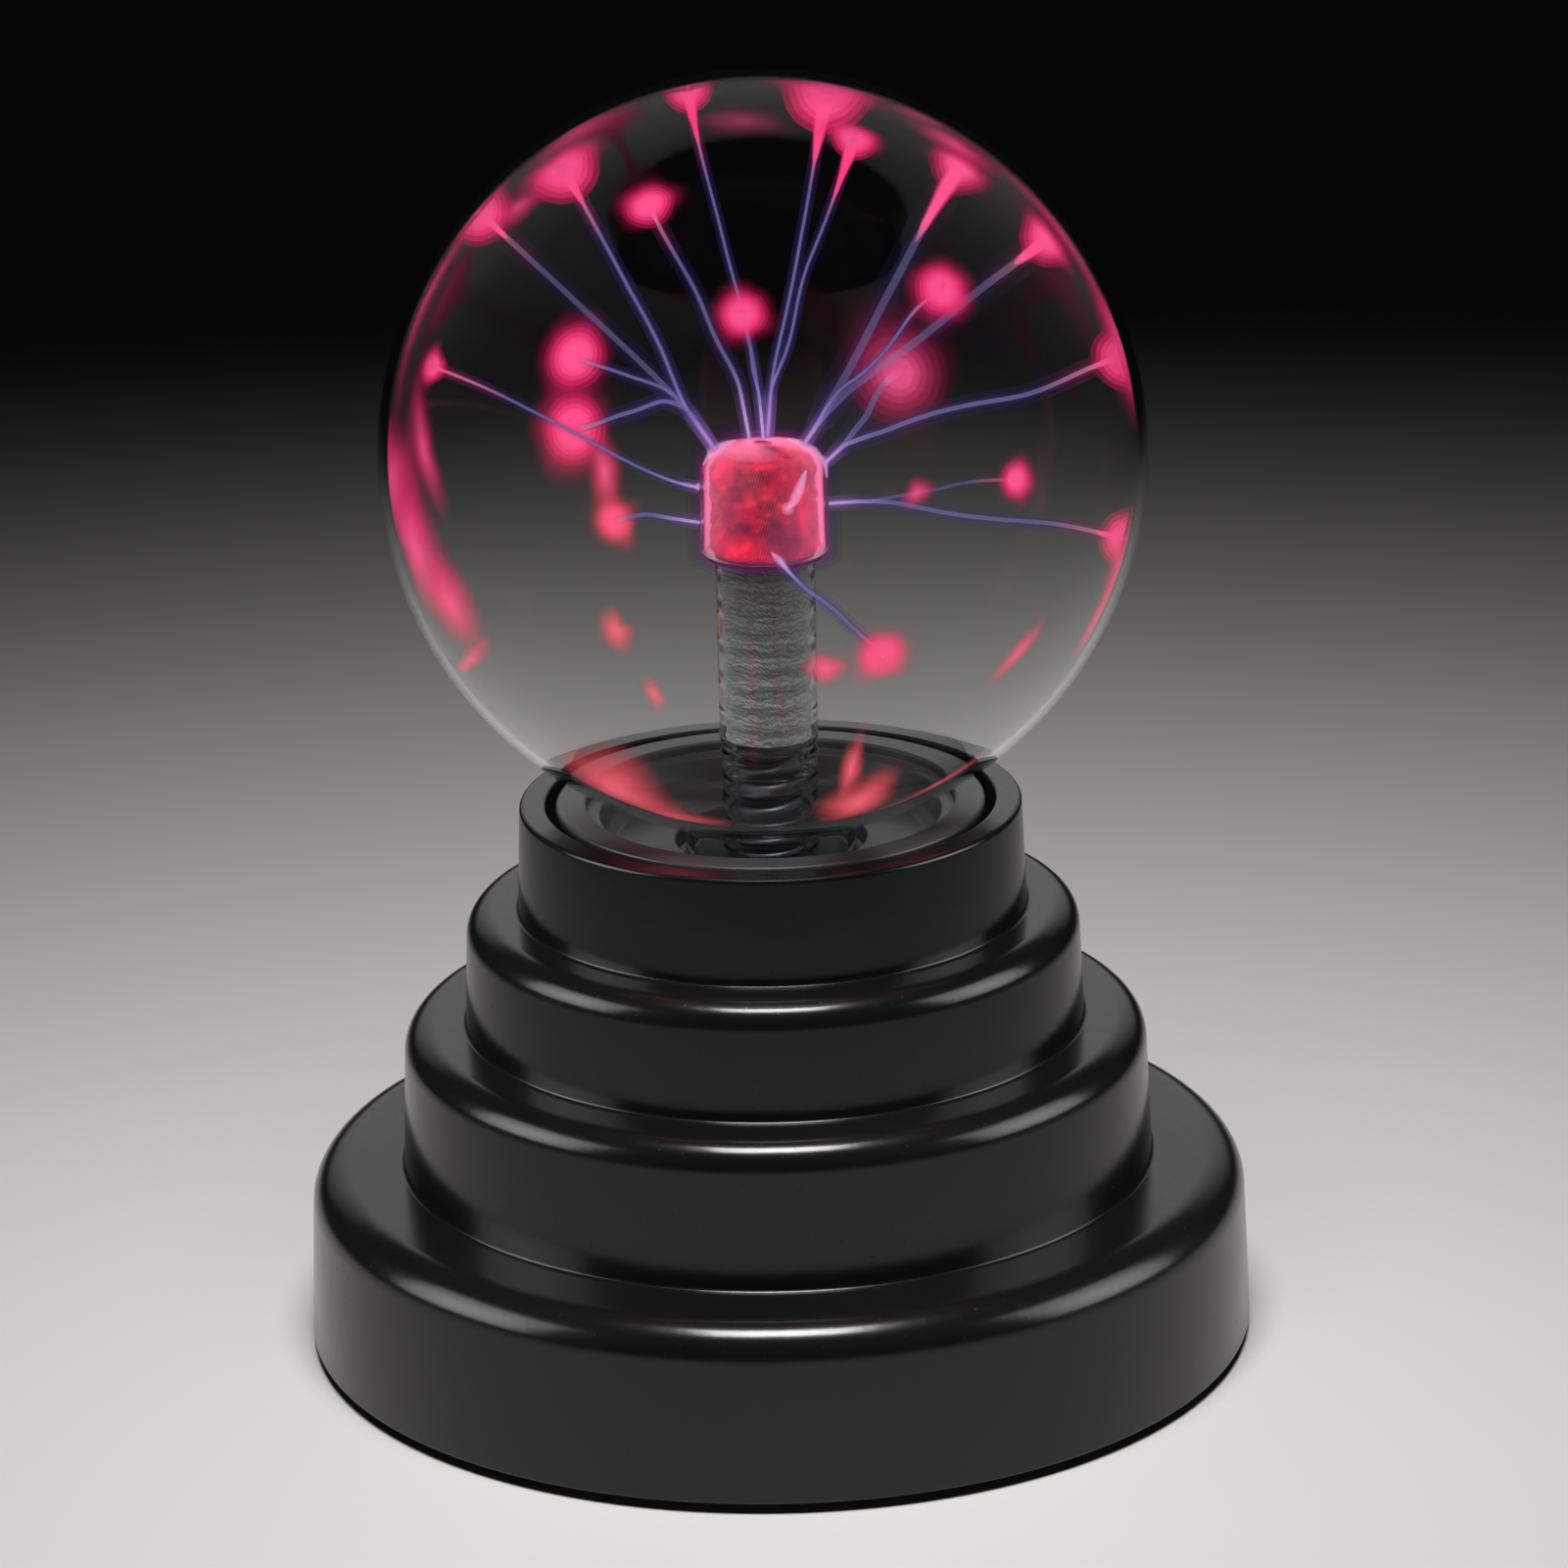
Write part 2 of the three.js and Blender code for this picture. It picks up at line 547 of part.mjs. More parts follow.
const makeSwitchKnob = () => {
  const root = REAR_PANEL.back - GAP - 1.1;
  const end = REAR_PANEL.y + 1.7;
  const stem = box(SWITCH_X - KNOB_HALF, SWITCH_X + KNOB_HALF, root, end, REAR_AXIS - 1.3, REAR_AXIS + 1.3);
  const groove = { pitch: 1.2, half: 0.25, depth: 0.4 };
  const grooves = [-1, 0, 1].map((i) => {
    const x = SWITCH_X + i * groove.pitch;
    return box(x - groove.half, x + groove.half, end - groove.depth, end + 1, REAR_AXIS - 2, REAR_AXIS + 2);
  });
  return cut(stem, ...grooves);
};

const makeInlet = () => {
  const { back, half, halfHeight } = INLET;
  const mouth = REAR_PANEL.y + 0.3;
  const along = (solid) => solid.rotate([-90, 0, 0]).translate([INLET_X, 0, REAR_AXIS]);
  const block = box(
    INLET_X - half, INLET_X + half, back, REAR_PANEL.back - GAP,
    REAR_AXIS - halfHeight, REAR_AXIS + halfHeight,
  );
  const barrel = along(cylinder(INLET.barrel, REAR_PANEL.back - 1, mouth, 16));
  const bore = along(cylinder(INLET.bore, back + 3, mouth + 1, 16));
  const pin = along(cylinder(INLET.pin, back + 2, mouth - 1, 8));
  return join(cut(join(block, barrel), bore), pin);
};

// ---- Drive board: high-voltage transformer, transistor on its heat sink, capacitors ----
const TRANSFORMER_X = 17;

const makeBoard = () => {
  const holes = [-1, 1].flatMap((i) =>
    [-1, 1].map((j) =>
      cylinder(BOARD_SCREW.shank + 0.4, BOARD.bottom - 1, BOARD_TOP + 1, 12)
        .translate([i * BOARD_POST.x, j * BOARD_POST.y, 0]),
    ),
  );
  return cut(cylinder(BOARD.radius, BOARD.bottom, BOARD_TOP, 36), ...holes);
};

const makeTransformerCore = () => {
  const low = BOARD_TOP + 0.2;
  const high = low + 15;
  const frame = box(TRANSFORMER_X - 9, TRANSFORMER_X + 9, -2.5, 2.5, low, high);
  const window = box(TRANSFORMER_X - 7, TRANSFORMER_X + 7, -3, 3, low + 2, high - 2);
  const leg = cylinder(2.4, low + 1, high - 1, 12).translate([TRANSFORMER_X, 0, 0]);
  return join(cut(frame, window), leg);
};

const makeTransformerWinding = () => {
  const low = BOARD_TOP + 2.5;
  const high = low + 10.4;
  return turned(
    [
      [6.8, low], [6.8, low + 0.8], [6, low + 1], [6, high - 1], [6.8, high - 0.8], [6.8, high],
      [2.7, high], [2.7, low],
    ],
    20,
  ).translate([TRANSFORMER_X, 0, 0]);
};

const SINK = { x: -20, halfY: 8, thick: 1.4, fins: 6.5, height: 13 };

const makeHeatSink = () => {
  const low = BOARD_TOP + 0.2;
  const high = low + SINK.height;
  const web = box(SINK.x - SINK.thick, SINK.x, -SINK.halfY, SINK.halfY, low, high);
  const fins = [-1, 1].map((side) => {
    const y = side * (SINK.halfY - SINK.thick / 2);
    return box(SINK.x - 0.2, SINK.x + SINK.fins, y - SINK.thick / 2, y + SINK.thick / 2, low, high);
  });
  return join(web, ...fins);
};

const makeTransistor = () => {
  const face = SINK.x + GAP;
  const low = BOARD_TOP + 3;
  const tab = box(face, face + 1.2, -5, 5, low, low + 9.5);
  const body = box(face + 0.6, face + 4.4, -5, 5, low, low + 6);
  const pins = [-2.5, 0, 2.5].map((y) =>
    box(face + 2, face + 2.6, y - 0.4, y + 0.4, BOARD_TOP + 0.1, low + 1),
  );
  const hole = cylinder(1.5, face - 1, face + 3, 12).rotate([0, 90, 0]).translate([0, 0, low + 7.9]);
  return cut(join(tab, body, ...pins), hole);
};

const makeCapacitorCan = () =>
  turned(
    [[0, 0], [3.9, 0], [3.9, 0.9], [3.6, 1.2], [3.9, 1.5], [3.9, 11.2], [3.4, 11.8], [0, 11.8]],
    16,
  ).translate([-6, -18, BOARD_TOP + 0.2]);

const makeFilmCapacitor = () => {
  const low = BOARD_TOP + 0.1;
  return join(
    box(-8, 4, 14, 19, low + 1.4, low + 9.4),
    box(-6.6, -6, 16.2, 16.8, low, low + 2),
    box(2, 2.6, 16.2, 16.8, low, low + 2),
  );
};

// ---- Leads inside the base ----
const LEAD_END = BOARD_TOP + 0.9;
const batteryLead = (side) => [
  [side * 16.35, 29.9, 9.6], [side * 16.2, 30.6, 13], [side * 15.4, 30.9, 17.5], [side * 14.6, 30, 21.5],
  [side * 13, 26.5, LEAD_END],
];
const LEADS = {
  lead_battery_plus: batteryLead(1),
  lead_battery_minus: batteryLead(-1),
  lead_switch: [[-9.5, 33.4, 9.6], [-9.3, 32.8, 12.5], [-9, 33, 17], [-7, 31.5, 21.4], [-6, 28, LEAD_END]],
  lead_inlet: [[8, 31.5, 9.5], [8, 31.3, 12.5], [8, 32.6, 17], [6.6, 31.4, 21.4], [5.6, 28, LEAD_END]],
};
const HIGH_VOLTAGE_LEAD = [
  [6.2, 9, BOARD_TOP + 1.3], [5, 8.2, 24.2], [2.4, 4.6, 26.6], [0.4, 1.2, 28.6], [0, 0, BOOT.low - 0.5],
];

// ---- Assembly ----
place('housing_shell', makeHousing(), PAINT.housing);
place('globe_cup', makeCup(), PAINT.cup);
place('neck_grommet', makeGrommet(), PAINT.rubber);
place('globe_envelope', makeGlobe(), PAINT.glass);
place('glass_stem', makeStem(), PAINT.glass);
place('electrode_bulb', makeBulb(), PAINT.electrode);
place('electrode_wool', makeWool(), PAINT.wool);
place('feed_spring', makeFeedSpring(), PAINT.steel);
place('core_sleeve', makeCoreSleeve(), PAINT.sleeve);
place('stem_boot', makeBoot(), PAINT.rubber);
place('high_voltage_lead', wire(HIGH_VOLTAGE_LEAD, 1.1, 16), PAINT.white);
place('bottom_cover', makeCover(), PAINT.cover);
place('battery_door', makeDoor(), PAINT.cover);
FOOT.angles.forEach((angle, i) => place(`foot_${i + 1}`, makeFoot(angle), PAINT.rubber));

for (let i = 0; i < CELL_COUNT; i++) {
  const turn = plusAtRear(i) ? 0 : 180;
  place(`battery_${i + 1}`, makeCell().rotate([0, 0, turn]).translate([cellX(i), 0, CELL_AXIS]), PAINT.cell);
}
place('contact_plus', makeContact([0], 1), PAINT.steel);
place('contact_minus', makeContact([3], 1), PAINT.steel);
place('contact_bridge_rear', makeContact([1, 2], 1), PAINT.steel);
place('contact_bridge_front_left', makeContact([0, 1], -1), PAINT.steel);
place('contact_bridge_front_right', makeContact([2, 3], -1), PAINT.steel);

place('power_switch_body', makeSwitchBody(), PAINT.part);
place('power_switch_knob', makeSwitchKnob(), PAINT.part);
place('power_inlet', makeInlet(), PAINT.part);

place('circuit_board', makeBoard(), PAINT.board);
place('transformer_core', makeTransformerCore(), PAINT.ferrite);
place('transformer_winding', makeTransformerWinding(), PAINT.winding);
place('heat_sink', makeHeatSink(), PAINT.sink);
place('drive_transistor', makeTransistor(), PAINT.part);
place('capacitor_can', makeCapacitorCan(), PAINT.can);
place('capacitor_film', makeFilmCapacitor(), PAINT.film);
Object.entries(LEADS).forEach(([name, points], i) => {
  place(name, wire(points, 0.7, 12), i % 2 ? PAINT.black : PAINT.red);
});

COVER_SCREW.angles.forEach((angle, i) => {
  const [x, y] = circleAt(COVER_SCREW.circle, angle);
  const screw = makeScrew(COVER_SCREW.size);
  place(`cover_screw_${i + 1}`, screw.translate([x, y, COVER_BOTTOM + 0.4]), PAINT.steel);
});
CUP_SCREW.angles.forEach((angle, i) => {
  const [x, y] = circleAt(CUP_SCREW.circle, angle);
  const screw = makeScrew(CUP_SCREW.size);
  place(`cup_screw_${i + 1}`, screw.translate([x, y, SHELF_TOP - SHELF_THICK - 1.4]), PAINT.steel);
});
[-1, 1].forEach((i) => [-1, 1].forEach((j) => {
  const screw = makeScrew(BOARD_SCREW).rotate([180, 0, 0]);
  const name = `board_screw_${(i + 1) + (j + 1) / 2 + 1}`;
  place(name, screw.translate([i * BOARD_POST.x, j * BOARD_POST.y, BOARD_TOP + 1.4]), PAINT.steel);
}));

export default plasmaBall;
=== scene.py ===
# A 3 inch plasma ball on its four-step base, switched on. Metres, +Z up, front towards -Y.
import math
from collections import namedtuple

import bmesh
import bpy
from mathutils import Matrix, Vector, noise


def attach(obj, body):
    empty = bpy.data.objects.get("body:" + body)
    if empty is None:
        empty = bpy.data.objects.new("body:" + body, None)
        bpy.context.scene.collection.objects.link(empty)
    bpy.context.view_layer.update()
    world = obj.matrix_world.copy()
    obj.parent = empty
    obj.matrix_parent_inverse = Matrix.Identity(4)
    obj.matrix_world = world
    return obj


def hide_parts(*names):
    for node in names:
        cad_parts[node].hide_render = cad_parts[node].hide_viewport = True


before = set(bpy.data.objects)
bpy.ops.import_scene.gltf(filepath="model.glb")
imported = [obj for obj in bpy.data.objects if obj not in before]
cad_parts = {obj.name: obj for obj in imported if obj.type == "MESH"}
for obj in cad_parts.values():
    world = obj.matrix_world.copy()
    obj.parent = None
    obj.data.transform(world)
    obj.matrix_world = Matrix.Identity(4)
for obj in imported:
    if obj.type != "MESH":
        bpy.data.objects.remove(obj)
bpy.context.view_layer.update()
mm = 0.001
scene = bpy.context.scene
noise.seed_set(5)  # the strands waver the same way in every run


# Camera

shot = {"lens": 140, "distance": 0.6126, "tilt": 18.3, "roll": -1.22, "aim": (0.0014, 0, 0.0579)}


def addCamera():
    camera = bpy.data.objects.new("camera", bpy.data.cameras.new("camera"))
    scene.collection.objects.link(camera)
    tilt = math.radians(shot["tilt"])
    aim = Vector(shot["aim"])
    camera.location = aim + shot["distance"] * Vector((0, -math.cos(tilt), math.sin(tilt)))
    look = (aim - camera.location).to_track_quat("-Z", "Y").to_matrix().to_4x4()
    turn = look @ Matrix.Rotation(math.radians(shot["roll"]), 4, "Z")
    camera.rotation_euler = turn.to_euler()
    camera.data.lens = shot["lens"]
    camera.data.clip_start = 0.01
    scene.camera = camera


addCamera()
print("camera set")


# Shader maths: a socket that can be used in an expression, and a finish that makes nodes

class Wire:
    def __init__(self, finish, socket):
        self.finish = finish
        self.socket = socket

    def maths(self, operation, *terms):
        return self.finish.node("Math", {"operation": operation}, dict(enumerate(terms)))

    def __add__(self, other):
        return self.maths("ADD", self, other)

    def __radd__(self, other):
        return self.maths("ADD", other, self)

    def __sub__(self, other):
        return self.maths("SUBTRACT", self, other)

    def __rsub__(self, other):
        return self.maths("SUBTRACT", other, self)

    def __mul__(self, other):
        return self.maths("MULTIPLY", self, other)

    def __rmul__(self, other):
        return self.maths("MULTIPLY", other, self)

    def __pow__(self, other):
        return self.maths("POWER", self, other)


class Finish:
    def __init__(self, name, colour=(0.5, 0.5, 0.5)):
        self.material = bpy.data.materials.new(name)
        self.material.use_nodes = True
        self.material.diffuse_color = (*colour, 1)
        self.tree = self.material.node_tree
        self.tree.nodes.clear()
        self.end = self.tree.nodes.new("ShaderNodeOutputMaterial")

    def node(self, kind, settings=None, inputs=None, output=0):
        made = self.tree.nodes.new("ShaderNode" + kind)
        for key, value in (settings or {}).items():
            if key == "steps":
                made.color_ramp.interpolation = value
            elif key == "stops":
                ramp = made.color_ramp
                while len(ramp.elements) < len(value):
                    ramp.elements.new(0.5)
                for element, (place, colour) in zip(ramp.elements, value):
                    element.position = place
                    element.color = (*colour, 1) if len(colour) == 3 else colour
            else:
                setattr(made, key, value)
        for key, value in (inputs or {}).items():
            if isinstance(value, Wire):
                self.tree.links.new(value.socket, made.inputs[key])
            else:
                made.inputs[key].default_value = value
        return Wire(self, made.outputs[output])

    def place(self, scale, stretch=(1, 1, 1)):
        coords = self.node("TexCoord", output="Object")
        sizes = tuple(scale * s for s in stretch)
        return self.node("Mapping", {}, {"Vector": coords, "Scale": sizes})

    def speckle(self, scale, detail, stretch=(1, 1, 1)):
        where = self.place(scale, stretch)
        return self.node("TexNoise", {}, {"Vector": where, "Scale": 1, "Detail": detail, "Roughness": 0.55})

    def ramp(self, value, *stops, steps="LINEAR"):
        return self.node("ValToRGB", {"stops": stops, "steps": steps}, {"Fac": value})

    def mixed(self, amount, first, second):
        return self.node("Mix", {"data_type": "RGBA"}, {0: amount, 6: first, 7: second}, 2)

    def bump(self, height, strength, distance):
        return self.node("Bump", {}, {"Height": height, "Strength": strength, "Distance": distance})

    def painted(self, name):
        return self.node("Attribute", {"attribute_name": name}, output="Fac")

    def surface(self, **inputs):
        values = {key.replace("_", " "): value for key, value in inputs.items()}
        return self.node("BsdfPrincipled", {}, values)

    def done(self, shader):
        self.tree.links.new(shader.socket, self.end.inputs["Surface"])
        return self.material

    def clearInShadow(self, glass, tint):
        # Glass whose shadow is only its tint
        clear = self.node("BsdfTransparent", {}, {"Color": rgb(*tint)})
        shadow = self.node("LightPath", output="Is Shadow Ray")
        return self.done(self.node("MixShader", {}, {0: shadow, 1: glass, 2: clear}))


def rgb(*values):
    return (*values, 1)


# Finishes

def blackGloss(name, shade, rough, ripple=0.25):
    made = Finish(name, (shade, shade, shade))
    broad = made.speckle(34, 2)
    fine = made.speckle(420, 2)
    specks = made.speckle(1900, 1)
    colour = made.ramp(broad, (0.3, (shade, shade, shade * 1.04)),
                       (0.75, (shade * 1.35, shade * 1.38, shade * 1.42)))
    dust = made.ramp(specks, (0.70, (0, 0, 0)), (0.78, (1, 1, 1)))
    gloss = rough + broad * 0.05 + fine * 0.03 + dust * 0.12
    height = broad * 0.7 + fine * 0.3
    return made.done(made.surface(
        Base_Color=colour, Roughness=gloss, IOR=1.43, Normal=made.bump(height, ripple, 0.0002)))


def grainedPlastic():
    made = Finish("grained plastic", (0.02, 0.02, 0.02))
    grain = made.speckle(1500, 3)
    blotch = made.speckle(60, 2)
    colour = made.ramp(blotch, (0.3, (0.014, 0.014, 0.015)), (0.7, (0.022, 0.022, 0.023)))
    return made.done(made.surface(
        Base_Color=colour, Roughness=0.42 + grain * 0.2, Normal=made.bump(grain, 0.35, 0.0001)))


def mattCoat(name, tint, rough):
    # Rubber, lacquer or insulation: an even coat with rubbed patches and a fine grain
    made = Finish(name, tint)
    grain = made.speckle(900, 3)
    worn = made.speckle(90, 3)
    rubbed = tuple(c * 1.5 + 0.004 for c in tint)
    shades = made.ramp(worn, (0.35, tint), (0.8, rubbed))
    return made.done(made.surface(
        Base_Color=shades, Roughness=rough + grain * 0.2, Normal=made.bump(grain, 0.3, 0.00015)))


def brightMetal(name, colour, rough, brushed=(1, 1, 14)):
    made = Finish(name, colour)
    lines = made.speckle(600, 3, brushed)
    tarnish = made.speckle(130, 3)
    dull = tuple(c * 0.62 for c in colour)
    shade = made.ramp(tarnish, (0.3, colour), (0.8, dull))
    return made.done(made.surface(
        Base_Color=shade, Metallic=1.0, Roughness=rough + lines * 0.18 + tarnish * 0.08,
        Normal=made.bump(lines, 0.15, 0.00005)))


def clearGlass(name, tint, rough, ior):
    made = Finish(name, tint)
    glass = made.surface(Base_Color=rgb(*tint), Roughness=rough, IOR=ior, Transmission_Weight=1.0)
    return made.clearInShadow(glass, tint)


def glow(name, colour, strength, opacity):
    # Light in the gas: nothing where the opacity is 0, and its own colour where it is 1
    made = Finish(name, (0.9, 0.1, 0.3))
    light = made.node("Emission", {}, {"Color": colour(made), "Strength": strength})
    nothing = made.node("BsdfTransparent")
    shader = made.node("MixShader", {}, {0: opacity(made), 1: nothing, 2: light})
    material = made.done(shader)
    material.cycles.emission_sampling = "NONE"
    return material


# Mesh tools. Outlines and sizes come in mm.

def meshOf(name, verts, faces):
    mesh = bpy.data.meshes.new(name)
    mesh.from_pydata([tuple(c * mm for c in v) for v in verts], [], faces)
    return mesh


def addPiece(name, verts, faces, material, crease=32):
    return addMesh(name, meshOf(name, verts, faces), material, crease)


def addMesh(name, mesh, material, crease):
    mesh.validate()
    piece = bpy.data.objects.new(name, mesh)
    scene.collection.objects.link(piece)
    mesh.materials.clear()
    mesh.materials.append(material)
    smooth(mesh, crease)
    return piece


def smooth(mesh, crease):
    mesh.polygons.foreach_set("use_smooth", [True] * len(mesh.polygons))
    mesh.set_sharp_from_angle(angle=math.radians(crease))


def settle(piece, slot=None, *nodes, body="base"):
    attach(piece, body)
    if nodes:
        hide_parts(*nodes)
    return piece


def rounded(corners, steps=6, closed=True):
    # Corners are (r, z, rounding). Short straight stretches beside each arc keep the flats flat.
    points = []
    count = len(corners)
    for i, (r, z, radius) in enumerate(corners):
        here = Vector((r, z))
        if radius <= 0 or (not closed and i in (0, count - 1)):
            points.append((r, z))
            continue
        before = Vector(corners[i - 1][:2]) - here
        after = Vector(corners[(i + 1) % count][:2]) - here
        half = before.angle(after) / 2
        reach = min(radius / math.tan(half), before.length * 0.49, after.length * 0.49)
        radius = reach * math.tan(half)
        centre = here + (before.normalized() + after.normalized()).normalized() * (radius / math.sin(half))
        start = here + before.normalized() * reach - centre
        sweep = start.angle_signed(here + after.normalized() * reach - centre)
        apron = min(0.15, radius * 0.3)
        points.append(tuple(here + before.normalized() * (reach + apron)))
        for k in range(steps + 1):
            a = -sweep * k / steps
            spoke = Vector((start.x * math.cos(a) - start.y * math.sin(a),
                            start.x * math.sin(a) + start.y * math.cos(a)))
            points.append(tuple(centre + spoke))
        points.append(tuple(here + after.normalized() * (reach + apron)))
    return points


def around(radius, angle, z):
    return (radius * math.cos(angle), radius * math.sin(angle), z)


def ring(radius, z, sides):
    turn = 2 * math.pi / sides
    return [around(radius, k * turn, z) for k in range(sides)]


def lofted(rings, closed=False):
    # Skins a row of rings of points. A ring of one point is a tip.
    verts, index, faces = [], [], []
    sides = max(len(points) for points in rings)
    for points in rings:
        start = len(verts)
        verts.extend(points)
        index.append([start] * sides if len(points) == 1 else list(range(start, start + sides)))
    pairs = list(zip(index, index[1:])) + ([(index[-1], index[0])] if closed else [])
    for low, high in pairs:
        for k in range(sides):
            n = (k + 1) % sides
            face = list(dict.fromkeys((low[k], low[n], high[n], high[k])))
            if len(face) > 2:
                faces.append(face)
    return verts, faces


def capped(rings):
    verts, faces = lofted(rings)
    sides = len(rings[0])
    first = list(range(sides))[::-1]
    last = list(range(len(verts) - sides, len(verts)))
    return verts, faces + [first, last]


def turned(outline, segments, closed=True):
    # The outline runs anticlockwise in (r, z), and either closes on itself or starts and ends on the axis
    return lofted([ring(r, z, segments) if r > 1e-6 else [(0, 0, z)] for r, z in outline], closed)


def disc(radius, low, high, segments):
    return turned([(0, low), (radius, low), (radius, high), (0, high)], segments, False)


def swept(path, radii, sides):
    # A closed tube along a list of points, as thick at each as its radius
    rings = []
    side = None
    for i, here in enumerate(path):
        ahead = (path[min(i + 1, len(path) - 1)] - path[max(i - 1, 0)]).normalized()
        side = side or ahead.orthogonal().normalized()
        side = (side - ahead * side.dot(ahead)).normalized()
        other = ahead.cross(side)
        turns = [2 * math.pi * k / sides for k in range(sides)]
        rings.append([here + (side * math.cos(a) + other * math.sin(a)) * radii[i] for a in turns])
    return capped(rings)


def refined(points, count):
    fine = [a.lerp(b, k / count) for a, b in zip(points, points[1:]) for k in range(count)]
    return fine + [points[-1]]


def gather(parts):
    verts, faces = [], []
    for partVerts, partFaces in parts:
        start = len(verts)
        verts.extend(partVerts)
        faces.extend([start + v for v in face] for face in partFaces)
    return verts, faces


def block(x0, x1, y0, y1, z0, z1):
    verts = [(x, y, z) for z in (z0, z1) for y in (y0, y1) for x in (x0, x1)]
    faces = [[0, 2, 3, 1], [4, 5, 7, 6], [0, 1, 5, 4], [2, 6, 7, 3], [0, 4, 6, 2], [1, 3, 7, 5]]
    return verts, faces


def moved(part, spin=0, about="Z", shift=(0, 0, 0)):
    turn = Matrix.Translation(shift) @ Matrix.Rotation(math.radians(spin), 4, about)
    return [turn @ Vector(v) for v in part[0]], part[1]


def carve(piece, operation, *parts):
    # Joins or cuts each closed part of the list, with exact booleans
    for part in parts:
        mesh = meshOf("tool", *part)
        tool = bpy.data.objects.new("tool", mesh)
        scene.collection.objects.link(tool)
        change = piece.modifiers.new("carve", "BOOLEAN")
        change.operation = operation
        change.solver = "EXACT"
        change.object = tool
        applyModifiers(piece)
        bpy.data.objects.remove(tool)
        bpy.data.meshes.remove(mesh)


def applyModifiers(piece):
    old = piece.data
    shaped = piece.evaluated_get(bpy.context.evaluated_depsgraph_get())
    piece.data = bpy.data.meshes.new_from_object(shaped)
    piece.modifiers.clear()
    bpy.data.meshes.remove(old)


def softened(node, material, slot, width, body="base", crease=32, steps=2):
    # The same shape as a CAD node, with its sharp edges rounded over
    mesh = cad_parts[node].data.copy()
    work = bmesh.new()
    work.from_mesh(mesh)
    bmesh.ops.remove_doubles(work, verts=work.verts, dist=1e-6)
    flat = {"angle_limit": math.radians(1), "verts": work.verts, "edges": work.edges}
    bmesh.ops.dissolve_limit(work, use_dissolve_boundaries=False, delimit=set(), **flat)
    work.to_mesh(mesh)
    work.free()
    piece = addMesh(node + "_piece", mesh, material, crease)
    bevel = piece.modifiers.new("edges", "BEVEL")
    bevel.width = width * mm
    bevel.segments = steps
    bevel.limit_method = "ANGLE"
    bevel.angle_limit = math.radians(crease)
    applyModifiers(piece)
    smooth(piece.data, crease)
    settle(piece, slot, node, body=body)


# Base housing

housing = {
    "foot": 1.0,
    "steps": [(47.5, 18.9, 3.8), (37.6, 33.7, 2.9), (30.9, 45.6, 2.7), (25.25, 56.5, 0.45)],
    "draft": 0.043,
    "wall": 2.1,
    "inner": 0.35,  # the small rounding where a wall meets the ledge below it
    "rimBore": 22.6,
    "shelf": (50.5, 48.5, 14.5),
    "segments": 224,
}
rear = {
    "face": 44.0,
    "halfX": 17.5,
    "low": 4.6,
    "high": 14.4,
    "axis": 9.5,
    "inletX": 8,
    "mouth": 4,
    "slot": (-13.3, -5.7, 1.8),  # its two ends, and half its height
    "pad": {"back": 41.8, "margin": 2.5, "low": 3.4, "high": 17.6, "radius": 46.6},  # thickens the wall
    "beyond": 60,  # well outside the wall, for the cuts
}


def makeHousing(material):
    steps, wall = housing["steps"], housing["wall"]
    outside, inside = [], []
    foot = housing["foot"]
    for i, (radius, top, rounding) in enumerate(steps):
        low = radius + housing["draft"] * (top - foot)
        outside += [(low, foot, 0.35 if i == 0 else housing["inner"]), (radius, top, rounding)]
        innerFoot = foot if i == 0 else foot - wall
        innerLow = radius + housing["draft"] * (top - innerFoot) - wall
        inside += [(innerLow, innerFoot, 0), (radius - wall, top - wall, 0)]
        foot = top
    shelfTop, shelfLow, shelfBore = housing["shelf"]
    bore = housing["rimBore"]
    rim, rimTop, _ = steps[-1]
    pocket = [(bore, rimTop, 0.3), (bore, shelfTop, 0), (shelfBore, shelfTop, 0), (shelfBore, shelfLow, 0),
              (rim - wall, shelfLow, 0)]
    outline = rounded(outside + pocket + inside[:-1][::-1], 9)
    shell = addPiece("housing", *turned(outline, housing["segments"]), material, 40)
    half, beyond, pad = rear["halfX"], rear["beyond"], rear["pad"]
    wide = half + pad["margin"]
    blank = addPiece("rearPad", *block(-wide, wide, pad["back"], beyond, pad["low"], pad["high"]), material)
    carve(blank, "INTERSECT", disc(pad["radius"], 0, 20, housing["segments"]))
    backing = [v.co / mm for v in blank.data.vertices], [tuple(f.vertices) for f in blank.data.polygons]
    bpy.data.objects.remove(blank)
    recess = block(-half, half, rear["face"], beyond, rear["low"], rear["high"])
    left, right, rise = rear["slot"]
    slot = block(left, right, 40, 50, rear["axis"] - rise, rear["axis"] + rise)
    mouth = moved(disc(rear["mouth"], 38, 50, 48), -90, "X", (rear["inletX"], 0, rear["axis"]))
    carve(shell, "UNION", backing)
    carve(shell, "DIFFERENCE", recess, slot, mouth)
    smooth(shell.data, 34)
    settle(shell, "housing_plastic", "housing_shell")


# Globe cup

cup = {
    "radius": 21.6,
    "top": 56.5,
    "mouth": 18.5,
    "ledge": 17.2,
    "floor": 52.4,
    "bottom": 50.8,
    "bore": 9.6,
    "collar": (11.1, 13, 41.5),  # bore, radius and foot of the tube round the globe's neck
}


